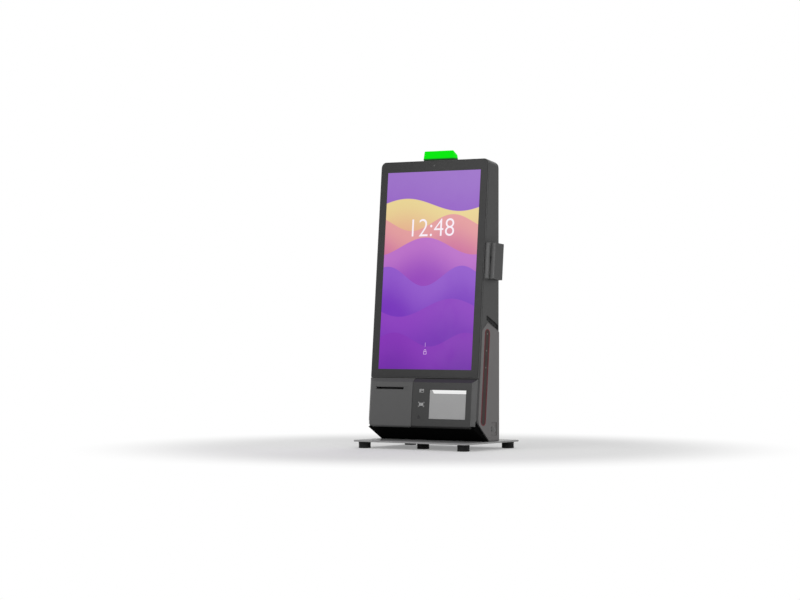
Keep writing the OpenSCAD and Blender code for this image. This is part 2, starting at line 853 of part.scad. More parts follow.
module chin() color([0.02, 0.02, 0.02]) difference() {
  union() {
    difference() {
      yz_slab(-cover_in, cover_in) chin_outline();
      yz_slab(-low_in, low_in) chin_inside();
      x_rod(-half_w, half_w, hinge_y, hinge_z, knuckle_r + hinge_gap);
    }
    for (x = [ear_left, ear_right]) yz_slab(x, x + ear_w) difference() {
      chin_outline();
      translate([hinge_y, hinge_z]) circle(knuckle_r + hinge_gap);
    }
    for (x = [ear_left, ear_right]) tilted() {
      x_rod(x, x + ear_w, hinge_d, hinge_s, ear_r);
      box([x, hinge_d, hinge_s - ear_r], [x + ear_w, hinge_d + knuckle_r + wall, hinge_s + ear_r]);
    }
  }
  for (x = [ear_left, ear_right])
    x_rod(x - eps, x + ear_w + eps, hinge_y, hinge_z, trunnion_r + play);
}

// Puts a piece at the middle of the light strip on the right cover's face
module strip_spot() {
  tilted() translate([half_w + cover_proud, strip_d, strip_s]) children();
}

// Lays a flat outline into the side's plane, its height up the slope
module side_turn() {
  rotate([90, 0, 90]) children();
}

// Draws a flat outline up from the floor of the strip's pocket
module strip_slab(t) {
  strip_spot() side_turn() translate([0, 0, -strip_depth]) linear_extrude(t) children();
}

module side_plate() {
  difference() {
    yz_slab(cover_in, half_w + cover_proud) cover_outline();
    strip_slab(strip_depth + eps) stadium(strip_w, strip_l);
  }
}

module side_cover_left() color([0.3, 0.29, 0.29]) mirror([1, 0, 0]) side_plate();

module side_cover_right() color([0.3, 0.29, 0.29]) difference() {
  side_plate();
  translate([port_floor, 0, 0]) side_turn() linear_extrude(port_t + eps)
    translate([port_y, port_z]) rounded_rect(port_w, port_h, 3);
  port_holes(cover_in - eps, half_w);
}

module light_spots() {
  for (i = [0:light_count - 1]) translate([0, strip_l / 2 - light_drop - i * dot_pitch]) children();
}

module strip_rings() color([0.35, 0.05, 0.06]) both_sides() strip_slab(ring_t) difference() {
  stadium(strip_w, strip_l);
  stadium(strip_w - 2 * strip_ring, strip_l - 2 * strip_ring);
}

module strip_lenses() color([0.1, 0.09, 0.09]) both_sides() strip_slab(lens_t) difference() {
  stadium(strip_w - 2 * strip_ring, strip_l - 2 * strip_ring);
  light_spots() circle(light_r + light_fit);
}

module strip_dots() color([0.8, 0.8, 0.8]) both_sides() strip_slab(light_t) light_spots() circle(light_r);

module vent_grilles() color([0.03, 0.03, 0.03]) both_sides() difference() {
  yz_slab(low_in + grille_in, low_in + grille_in + grille_t) slit_outline();
  fall = (slit_front_z[0] - slit_back_z[0]) / (slit_back - slit_front);
  for (i = [0:grille_count - 1]) {
    y = slit_front + grille_gap + i * grille_pitch;
    box([low_in, y, 0], [half_w, y + grille_gap, slit_front_z[0] + 4 - fall * (y - slit_front)]);
  }
}

module speakers() color([0.08, 0.08, 0.08]) both_sides() difference() {
  box([low_in - speaker_t, slit_front + speaker_front, slit_back_z[0] + speaker_low],
      [low_in, web_y - speaker_back, slit_front_z[0] + speaker_high]);
  x_rod(low_in - cone_t, low_in + eps, (slit_front + speaker_front + web_y - speaker_back) / 2,
        (slit_back_z[0] + slit_front_z[0]) / 2 + cone_up, cone_r);
}

// Lower front

// Plan of the lower panel with its slanted ends, drawn in by inset
module panel_plan(inset, shift, back) {
  reach = panel_out + shift + eps;
  polygon([[-half_w + inset, back], [-half_w + inset, shift], [-half_w + inset + reach, shift - reach],
    [half_w - inset - reach, shift - reach], [half_w - inset, shift], [half_w - inset, back]]);
}

// Panel between two widths, with its slanted top and ends, and a rolled bottom edge between the ends
module panel_solid(x0, x1, back) {
  roll_end = half_w - panel_out;
  intersection() {
    union() {
      yz_slab(x0, x1) polygon([[back, panel_top], [0, panel_top], [-panel_out, panel_top - panel_out],
        [-panel_out, hinge_s], [roll_back, hinge_s], [roll_back, hinge_s + roll_rise],
        [back, hinge_s + roll_rise + back - roll_back]]);
      yz_slab(max(x0, -roll_end), min(x1, roll_end)) translate([hinge_d, hinge_s]) circle(knuckle_r);
    }
    translate([0, 0, panel_low - eps]) linear_extrude(panel_h + 2 * eps) panel_plan(0, 0, back + eps);
  }
}

// Inside of the panel, one skin behind its faces
module panel_hollow(x0, x1, back) {
  past = back + eps;
  low = hinge_s + hollow_rise;
  intersection() {
    yz_slab(x0 + skin, x1 - skin) polygon([[past, panel_top - skin], [bevel_shift, panel_top - skin],
      [-panel_out + skin, panel_top - panel_out - skin + bevel_shift],
      [-panel_out + skin, low], [roll_back - skin, low], [past, low + past - roll_back + skin]]);
    translate([0, 0, panel_low]) linear_extrude(panel_h) panel_plan(skin, bevel_shift, past + eps);
  }
}

module printer_door() color([0.17, 0.17, 0.175]) tilted() {
  past = door_back + wall;
  low = panel_low - eps;
  difference() {
    panel_solid(-half_w, door_right, door_back);
    panel_hollow(-half_w, door_right, door_back);
    box([slot_x, -panel_out - eps, slot_s - slot_h / 2],
        [slot_x + slot_w, -panel_out + skin + eps, slot_s + slot_h / 2]);
    box([slot_x, -panel_out - eps, slot_s - recess_h / 2],
        [slot_x + recess_w, -panel_out + recess_t, slot_s + recess_h / 2]);
    for (x = [ear_left, ear_right])
      box([x - ear_side, hinge_d - ear_r - hinge_gap, low],
          [x + ear_w + ear_side, past, hinge_s + ear_r + hinge_gap]);
    box([-half_w - eps, hinge_d, low], [ear_left + ear_w, past, hinge_s + ear_r + knuckle_r]);
    box([ear_right, hinge_d, low], [door_right + eps, past, hinge_s + ear_r + knuckle_r]);
  }
  x_rod(ear_left + trunnion_in, ear_left + ear_w + 2 * ear_side, hinge_d, hinge_s, trunnion_r);
  x_rod(ear_right - 2 * ear_side, ear_right + ear_w - trunnion_in, hinge_d, hinge_s, trunnion_r);
}

module tear_bar() color([0.7, 0.7, 0.7]) tilted()
  box([slot_x + 2, -panel_out + skin, slot_s - slot_h / 2 - tear_h],
      [slot_x + slot_w - 2, -panel_out + skin + tear_t, slot_s - slot_h / 2]);

module scanner_panel() color([0.1, 0.1, 0.105]) tilted() difference() {
  panel_solid(panel_left, half_w, seam_d);
  panel_hollow(panel_left, half_w, seam_d);
  translate([win_x, pane_d, win_s]) {
    box([-win_w / 2, -panel_out, -win_h / 2], [win_w / 2, 0, win_h / 2]);
    box([-win_w / 2 + ledge, -panel_out, -win_h / 2 + ledge],
        [win_w / 2 - ledge, panel_out, win_h / 2 - ledge]);
  }
  y_rod(-panel_out - eps, -panel_out + skin + eps, dot_x, dot_s, dot_r + dot_fit);
}

module scan_window() color([0.6, 0.6, 0.6]) tilted() xz_slab(pane_d - pane_t, pane_d) difference() {
  translate([win_x, win_s]) square([win_w - 2 * pane_fit, win_h - 2 * pane_fit], center = true);
  polygon([[bar_left, win_top + eps], [win_right + eps, win_top + eps], [win_right + eps, win_top - bar_h],
    [bar_left + bar_slant, win_top - bar_h], [bar_left, win_top - pane_fit]]);
}

module light_bar() color([1, 1, 1]) tilted() xz_slab(pane_d - pane_t, pane_d) polygon([
  [bar_left + pane_fit, win_top - pane_fit], [win_right - pane_fit, win_top - pane_fit],
  [win_right - pane_fit, win_top - bar_h + pane_fit],
  [bar_left + bar_slant + pane_fit, win_top - bar_h + pane_fit]]);

module sensor_dot() color([0.02, 0.02, 0.02]) tilted() {
  y_rod(-panel_out + 0.2, -panel_out + skin, dot_x, dot_s, dot_r);
  y_rod(-panel_out + skin, -panel_out + skin + wall, dot_x, dot_s, dot_r + dot_collar);
}

module reader_antenna() color([0.05, 0.25, 0.12]) tilted()
  box([antenna_x, -panel_out + skin, antenna_low],
      [antenna_x + antenna_w, -panel_out + skin + board_t, panel_top - antenna_drop]);

module scan_engine() color([0.08, 0.08, 0.09])
  box([win_x - scan_half_x, scan_y, scan_z - scan_half_z],
      [win_x + scan_half_x, scan_y + scan_depth, scan_z + scan_half_z]);

module scan_lens() color([0.02, 0.02, 0.05]) {
  y_rod(scan_y - 4, scan_y, win_x, scan_z, scan_lens_r);
  for (sx = [-1, 1]) y_rod(scan_y - 2, scan_y, win_x + sx * scan_lamp_x, scan_z, scan_lamp_r);
}

module scan_bracket() color([0.6, 0.6, 0.6]) translate([win_x, 0, scan_z - scan_half_z]) {
  box([-bracket_half, scan_y + bracket_front, -sheet], [bracket_half, web_y, 0]);
  box([-bracket_half, web_y - sheet, 0], [bracket_half, web_y, bracket_h]);
}

// Printer

module cheek_outline() {
  back = web_y - cheek_back;
  high = platen_z + cheek_over;
  polygon([[back, deck_z], [back, roll_z + cheek_rise], [platen_y + cheek_span[1], high],
    [platen_y - cheek_span[0], high], [platen_y - cheek_nose[0], roll_z + cheek_nose[1]],
    [hinge_y + cheek_toe[0], hinge_z + cheek_toe[1]], [floor_y + cheek_front, deck_z]]);
}

module printer_frame() color([0.6, 0.6, 0.61]) difference() {
  union() {
    for (sx = [-1, 1]) translate([printer_x + sx * (cheek_in + cheek_t / 2), 0, 0]) {
      yz_slab(-cheek_t / 2, cheek_t / 2) cheek_outline();
      foot_mid = sx * (cheek_foot - cheek_t) / 2;
      box([foot_mid - cheek_foot / 2, floor_y + cheek_front, deck_z],
          [foot_mid + cheek_foot / 2, web_y - cheek_back, deck_z + sheet]);
    }
    translate([printer_x, roll_y + tie_behind, roll_z + roll_d / 2 + tie_gap])
      box([-cheek_in - eps, 0, 0], [cheek_in + eps, tie_d, sheet]);
  }
  through = cheek_in + cheek_t + eps;
  x_rod(printer_x - through, printer_x + through, roll_y, roll_z, spindle_r + screw_fit);
  x_rod(printer_x - through, printer_x + through, platen_y, platen_z, shaft_r + play);
}

module print_head() color([0.4, 0.4, 0.42]) translate([printer_x, platen_y, platen_z + platen_r + head_gap])
  box([-cheek_in, -head_span[0], 0], [cheek_in, head_span[1], head_t]);

module platen() color([0.06, 0.06, 0.06]) difference() {
  x_rod(printer_x - slot_w / 2, printer_x + slot_w / 2, platen_y, platen_z, platen_r);
  x_rod(printer_x - slot_w, printer_x + slot_w, platen_y, platen_z, shaft_r + bore_fit);
}

module platen_shaft() color([0.75, 0.75, 0.76])
  x_rod(printer_x - cheek_in - shaft_over, gear_end + 1, platen_y, platen_z, shaft_r);

// Half angle of a tooth at radius r, thinned for backlash
function involute(a) = tan(a) - a * PI / 180;
function flank(r, base, teeth) = (90 - tooth_thin) / teeth
  + (involute(pressure_angle) - involute(acos(min(1, base / r)))) * 180 / PI;

// Outline of a spur gear with a tooth at zero degrees
module gear_outline(teeth) {
  pitch = gear_m * teeth / 2;
  base = pitch * cos(pressure_angle);
  radii = [for (step = [-1.2, -0.5, 0, 0.5, 0.9]) pitch + step * gear_m];
  last = len(radii) - 1;
  corners = concat([for (r = radii) [r, -flank(r, base, teeth)]],
                   [for (i = [last:-1:0]) [radii[i], flank(radii[i], base, teeth)]]);
  polygon([for (t = [0:teeth - 1], p = corners) let (a = t * 360 / teeth + p[1]) p[0] * [cos(a), sin(a)]]);
}

// Gear standing on the cheek's outer side, turned to its mesh
module gear(teeth, y, z, turn, bore) {
  translate([gear_x, y, z]) side_turn() linear_extrude(gear_w) difference() {
    rotate(turn) gear_outline(teeth);
    circle(bore);
  }
}

module platen_gear() color([0.9, 0.9, 0.85])
  gear(platen_teeth, platen_y, platen_z, idler_way, shaft_r + bore_fit);

module idler_gear() color([0.9, 0.9, 0.85])
  gear(idler_teeth, idler_y, idler_z, idler_turn, pin_r + play);

module idler_pin() color([0.7, 0.7, 0.7]) {
  x_rod(cheek_right, gear_end + pin_gap, idler_y, idler_z, pin_r);
  x_rod(gear_end + pin_gap, gear_end + pin_gap + pin_head_t, idler_y, idler_z, pin_head_r);
}

module pinion() color([0.8, 0.65, 0.3])
  gear(pinion_teeth, pinion_y, pinion_z, pinion_turn, motor_shaft_r() + bore_fit);

// The pinion's shaft is thin enough for the smallest pinion's root
function motor_shaft_r() = min(2, pinion_pitch - 2 * gear_m);

module motor_shaft() color([0.75, 0.75, 0.76])
  x_rod(gear_x - 0.5, motor_x + motor_shaft_in, pinion_y, pinion_z, motor_shaft_r());

module print_motor() color([0.5, 0.5, 0.52]) difference() {
  x_rod(motor_x, motor_x + motor_l, pinion_y, pinion_z, motor_d / 2);
  x_rod(motor_x - eps, motor_x + motor_shaft_in + eps, pinion_y, pinion_z, motor_shaft_r() + play);
}

module motor_bracket() color([0.6, 0.6, 0.61]) difference() {
  plate_x = motor_x - motor_plate_t;
  half_y = motor_d / 2 + 4;
  half_z = motor_d / 2 + 1;
  union() {
    translate([plate_x, pinion_y, pinion_z]) box([0, -half_y, -half_z], [motor_plate_t, half_y, half_z]);
    for (sg = [-1, 1])
      x_rod(cheek_right, motor_x - motor_plate_t / 2, pinion_y + sg * (half_y - post_in),
            pinion_z + sg * (half_z - post_in), post_r);
  }
  x_rod(plate_x - eps, motor_x + eps, pinion_y, pinion_z, motor_shaft_r() + 3);
}

module roll_spindle() color([0.2, 0.2, 0.2]) {
  x_rod(printer_x - cheek_in - shaft_over, printer_x + cheek_in + shaft_over, roll_y, roll_z, spindle_r);
  for (x = [-cheek_in, cheek_in - spindle_rim_t])
    x_rod(printer_x + x, printer_x + x + spindle_rim_t, roll_y, roll_z, spindle_r + spindle_rim);
}

module roll_core_tube() color([0.55, 0.42, 0.3]) difference() {
  x_rod(printer_x - paper_w / 2, printer_x + paper_w / 2, roll_y, roll_z, core_r);
  x_rod(printer_x - paper_w, printer_x + paper_w, roll_y, roll_z, spindle_r + play);
}

module paper_roll() color([0.95, 0.95, 0.94]) difference() {
  x_rod(printer_x - paper_w / 2, printer_x + paper_w / 2, roll_y, roll_z, roll_d / 2);
  x_rod(printer_x - paper_w, printer_x + paper_w, roll_y, roll_z, core_r + bore_fit);
}

// Card reader

module card_base() color([0.1, 0.1, 0.1]) tilted()
  box([half_w, reader_d, reader_low], [half_w + reader_base, reader_back, reader_low + reader_h]);

// Upright of the reader between two widths and two depths, with rounded corners seen from the side
module reader_upright(x0, x1, front, back) {
  yz_slab(x0, x1) translate([(front + back) / 2, reader_low + reader_h / 2])
    rounded_rect(back - front, reader_h, reader_round);
}

module card_wall() color([0.11, 0.11, 0.11]) tilted()
  reader_upright(half_w + reader_base, half_w + reader_lip, reader_d, reader_d + lip_t);

// Pocket of the reading head in the rear block, let out towards the card by proud
module card_head_solid(proud) {
  box([head_in_x, block_d - proud, head_s[0]], [head_in_x + head_w_x, block_d + head_depth, head_s[1]]);
}

module card_block() color([0.11, 0.11, 0.11]) tilted() difference() {
  intersection() {
    translate([0, 0, reader_low]) linear_extrude(reader_h) polygon([
      [half_w + reader_base, block_d], [reader_x - reader_bevel, block_d],
      [reader_x, block_d + reader_bevel], [reader_x, reader_back - reader_bevel],
      [reader_x - reader_bevel, reader_back], [half_w + reader_base, reader_back]]);
    reader_upright(half_w + reader_base, reader_x, block_d, reader_back);
  }
  card_head_solid(eps);
}

module card_head() color([0.7, 0.7, 0.7]) tilted() card_head_solid(0.5);

// Status lamp

// Hole for the lamp's wires, from below the roof to above the lamp's base
module lamp_wire_hole(below) {
  low = roof_z(lamp_y) - below - 2 * eps;
  translate([0, lamp_y, low]) cylinder(r = wire_r, h = top_z + gasket_h + eps - low);
}

// Wedge that levels the lamp on the roof
module lamp_base() color([0.02, 0.02, 0.02]) difference() {
  half = lamp_w / 2 + lamp_flare - lamp_base_in;
  front = lamp_front + lamp_base_in;
  back = lamp_front + lamp_d - lamp_base_in;
  yz_slab(-half, half) polygon([[front, roof_z(front)], [back, roof_z(back)],
    [back, top_z + gasket_h], [front, top_z + gasket_h]]);
  lamp_wire_hole(0);
}

// Side view of the lamp with its slanted back, drawn in by inset and let out past the bottom
module lamp_outline(inset) {
  front = lamp_front + inset;
  back = lamp_front + lamp_d - inset;
  low = top_z + gasket_h - 2 * inset;
  high = top_z + lamp_h - inset;
  polygon([[front, low], [front, high - lamp_edge[1]], [front + lamp_edge[0], high],
    [lamp_front + lamp_flat, high], [back, high - lamp_slope], [back, low]]);
}

// Half width of the lamp at height z: flared towards its foot
function lamp_x(z) = lamp_w / 2 + lamp_flare * (top_z + lamp_h - z) / (lamp_h - gasket_h);

module lamp_solid(inset) {
  low = top_z;
  high = top_z + lamp_h + eps;
  intersection() {
    yz_slab(-lamp_w, lamp_w) lamp_outline(inset);
    xz_slab(-far, far) polygon([[inset - lamp_x(low), low], [lamp_x(low) - inset, low],
      [lamp_x(high) - inset, high], [inset - lamp_x(high), high]]);
  }
}

module lamp_lens() color([0, 0.9, 0.05]) difference() {
  lamp_solid(0);
  lamp_solid(lamp_wall);
}

module lamp_board() color([0.05, 0.3, 0.12]) translate([0, lamp_y, top_z + gasket_h]) {
  difference() {
    linear_extrude(board_t) square([lamp_w - 10, lamp_d - 7], center = true);
    translate([0, 0, -eps]) cylinder(r = wire_r - 1, h = board_t + 2 * eps);
  }
  for (sx = [-1, 1], x = led_x)
    translate([sx * x - led_w / 2, -led_w / 2, board_t]) cube([led_w, led_w, led_h]);
}

// Electronics

module board_spots() {
  for (sx = [-1, 1], sz = [-1, 1])
    translate([sx * (board_half_x - board_hole_in), 0, board_z + sz * (board_half_z - board_hole_in)])
      children();
}

module board_standoffs() color([0.75, 0.6, 0.3]) board_spots() {
  y_rod(board_y, web_y, 0, 0, standoff_r);
  y_rod(web_y, web_y + sheet + 2, 0, 0, stud_r);
}

module mainboard() color([0.04, 0.22, 0.1]) translate([0, board_y - board_t, board_z]) {
  box([-board_half_x, 0, -board_half_z], [board_half_x, board_t, board_half_z]);
  box([sink_x[0], -sink_h, sink_z[0]], [sink_x[1], 0, sink_z[1]]);
  box([memory_x[0], -memory_h, memory_z[0]], [memory_x[1], 0, memory_z[1]]);
  box([sockets_x[0], -sockets_h, sockets_z[0]], [sockets_x[1], 0, sockets_z[1]]);
}

module power_supply() color([0.62, 0.62, 0.63])
  box([-supply_half_x, web_y - supply_d, supply_z[0]], [supply_half_x, web_y, supply_z[1]]);

module power_button() color([0.75, 0.75, 0.75]) {
  x_rod(low_in - rim_gap, port_floor + button_travel - 0.3, button_y, port_z, button_r);
  x_rod(low_in - rim_gap - rim_t, low_in - rim_gap, button_y, port_z, button_r + rim_over);
}

module power_switch() color([0.05, 0.05, 0.05]) difference() {
  box([low_in - switch_d, button_y - switch_half, port_z - switch_half],
      [low_in, button_y + switch_half - 2, port_z + switch_half]);
  x_rod(low_in - rim_gap - rim_t - button_travel - switch_gap, low_in + eps, button_y, port_z,
        button_r + rim_over + rim_gap);
}

module usb_port() color([0.6, 0.6, 0.6]) translate([0, usb_y, port_z]) {
  difference() {
    box([low_in - usb_l, -usb_w / 2, -usb_h / 2], [port_floor, usb_w / 2, usb_h / 2]);
    box([low_in - usb_l + sheet, -usb_w / 2 + usb_skin, -usb_h / 2 + usb_skin],
        [half_w + wall, usb_w / 2 - usb_skin, usb_h / 2 - usb_skin]);
  }
  box([low_in - usb_l + sheet / 2, usb_w / 2 - usb_skin - 2, -tongue_h / 2],
      [port_floor - eps, usb_w / 2 - usb_skin - 2 + tongue_t, tongue_h / 2]);
}

module rear_cover() color([0.13, 0.13, 0.13]) difference() {
  inside_y = back_y - wall;
  union() {
    box([-hatch_half_x, inside_y, hatch_z[0]], [hatch_half_x, back_y, hatch_z[1]]);
    box([-hatch_half_x - hatch_lap, inside_y - hatch_rim_t, hatch_z[0] - hatch_lap + hatch_rim_in],
        [hatch_half_x + hatch_lap, inside_y, hatch_z[1] + hatch_lap - hatch_rim_in]);
  }
  translate([0, inside_y - hatch_rim_t - eps, 0]) {
    through = wall + hatch_rim_t + 2 * eps;
    translate([-inlet_w / 2, 0, inlet_z - inlet_h / 2]) cube([inlet_w, through, inlet_h]);
    for (i = [0:hatch_slots - 1])
      translate([-hatch_slot_half, 0, hatch_z[0] + hatch_slot_rise + i * hatch_slot_pitch])
        cube([2 * hatch_slot_half, through, hatch_slot_h]);
  }
}

module power_inlet() color([0.03, 0.03, 0.03]) translate([0, back_y, inlet_z]) {
  difference() {
    box([-inlet_w / 2, -inlet_in, -inlet_h / 2], [inlet_w / 2, 0.5, inlet_h / 2]);
    box([-inlet_mouth[0], -inlet_mouth_d, -inlet_mouth[1]], [inlet_mouth[0], eps, inlet_mouth[1]]);
  }
  for (p = inlet_pins)
    box([p[0] - inlet_pin[0], -inlet_mouth_d - eps, p[1] - inlet_pin[1]],
        [p[0] + inlet_pin[0], -inlet_pin_back, p[1] + inlet_pin[1]]);
}

place() base_plate();
place() feet();
place() foot_screws();
place() base_screws();
place() spine();
place() rear_housing();
place() rear_screws();
place() front_frame();
place() touch_glass();
place() lcd_panel();
place() lcd_brackets();
place() camera_module();
place() lower_casing();
place() chin();
place() side_cover_left();
place() side_cover_right();
place() strip_rings();
place() strip_lenses();
place() strip_dots();
place() vent_grilles();
place() speakers();
place() printer_door();
place() tear_bar();
place() scanner_panel();
place() scan_window();
place() light_bar();
place() sensor_dot();
place() reader_antenna();
place() scan_engine();
place() scan_lens();
place() scan_bracket();
place() printer_frame();
place() print_head();
place() platen();
place() platen_shaft();
place() platen_gear();
place() idler_gear();
place() idler_pin();
place() pinion();
place() motor_shaft();
place() print_motor();
place() motor_bracket();
place() roll_spindle();
place() roll_core_tube();
place() paper_roll();
place() card_base();
place() card_wall();
place() card_block();
place() card_head();
place() lamp_base();
place() lamp_lens();
place() lamp_board();
place() mainboard();
place() board_standoffs();
place() power_supply();
place() power_button();
place() power_switch();
place() usb_port();
place() rear_cover();
place() power_inlet();
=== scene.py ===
"""Dresses the packed countertop kiosk and sets it in a plain studio.

Lengths are metres in the frame of the packed model: X to the right, Y to the back and Z up.
"""
import json
import logging
import math
from collections.abc import Iterable, Sequence
from dataclasses import dataclass, field
from enum import Enum
from typing import Optional, Union

import bmesh
import bpy
from bmesh.types import BMEdge, BMesh, BMVert
from bpy.types import Material, Mesh, Node, NodeSocket, NodeTree, Object, World
from mathutils import Matrix, Vector
from mathutils.bvhtree import BVHTree
from mathutils.geometry import intersect_point_line


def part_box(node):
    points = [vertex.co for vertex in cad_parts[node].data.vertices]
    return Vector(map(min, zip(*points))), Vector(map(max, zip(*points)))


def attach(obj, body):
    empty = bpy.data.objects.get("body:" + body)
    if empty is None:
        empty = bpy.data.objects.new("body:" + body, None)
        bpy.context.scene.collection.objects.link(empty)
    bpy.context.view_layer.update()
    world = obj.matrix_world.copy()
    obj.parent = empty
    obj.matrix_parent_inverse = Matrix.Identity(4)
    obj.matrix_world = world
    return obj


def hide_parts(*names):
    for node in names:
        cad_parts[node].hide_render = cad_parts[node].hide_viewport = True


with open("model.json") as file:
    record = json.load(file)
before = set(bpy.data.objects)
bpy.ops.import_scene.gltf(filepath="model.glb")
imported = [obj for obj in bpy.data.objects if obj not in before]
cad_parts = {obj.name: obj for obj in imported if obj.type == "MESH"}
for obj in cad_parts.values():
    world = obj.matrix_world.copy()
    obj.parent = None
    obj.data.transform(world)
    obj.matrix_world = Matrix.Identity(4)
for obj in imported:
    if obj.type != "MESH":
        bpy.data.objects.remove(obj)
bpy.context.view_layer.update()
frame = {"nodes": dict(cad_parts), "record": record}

log = logging.getLogger("kiosk")

MM = 0.001
# Body of all that doesn't move
FIXED = "kiosk"

# Points closer than this are one
WELD = 1e-6
# Edges bent by less than the first are flat, and by less than the second are shaded smooth
FLAT = math.radians(0.4)
SMOOTH = math.radians(35)
# Edges bent by more than the first are rounded, and by more than the second are folded over
SHARP = math.radians(25)
FOLDED = math.radians(150)
# A face looks along a direction where its normal's share of that direction is above this
ALIGNED = 0.9

Colour = tuple[float, float, float]
Point = tuple[float, float]
Place = tuple[float, float, float]
Outline = list[Point]
Names = tuple[str, ...]
Widths = dict[str, float]
Value = Union[NodeSocket, float, Colour]
Inputs = dict[Union[int, str], Value]
Sockets = bpy.types.bpy_prop_collection


def srgb(*display: int) -> Colour:
    """Linear colour for red, green and blue display values from 0 to 255."""
    shares = [value / 255 for value in display]
    return tuple(part / 12.92 if part <= 0.04045 else ((part + 0.055) / 1.055) ** 2.4 for part in shares)


def grey(value: int) -> Colour:
    """Neutral linear colour for one display value from 0 to 255."""
    return srgb(value, value, value)


def shade(colour: Colour, factor: float) -> Colour:
    """Colour scaled by a factor, never above one."""
    return tuple(min(1.0, part * factor) for part in colour)


class Effect(Enum):
    """Shader effects that several finishes share: the group's name and its inputs' defaults."""

    GRAIN = ("surface_grain", {"Size": 0.5 * MM, "Contrast": 1.0})
    WEAR = ("edge_wear", {"Radius": 0.5 * MM, "Amount": 0.3})
    DUST = ("settled_dust", {"Amount": 0.1})
    SMEAR = ("finger_smears", {"Amount": 0.05})
    BRUSH = ("brush_lines", {"Contrast": 1.0})
    ROUNDED = ("rounded_edge", {"Radius": 0.3 * MM})


class Grain(Enum):
    """Size of a surface's grain in metres and the strength of its bump."""

    SMOOTH = (2.0 * MM, 0.0)
    FINE = (0.5 * MM, 0.10)
    COARSE = (1.1 * MM, 0.22)


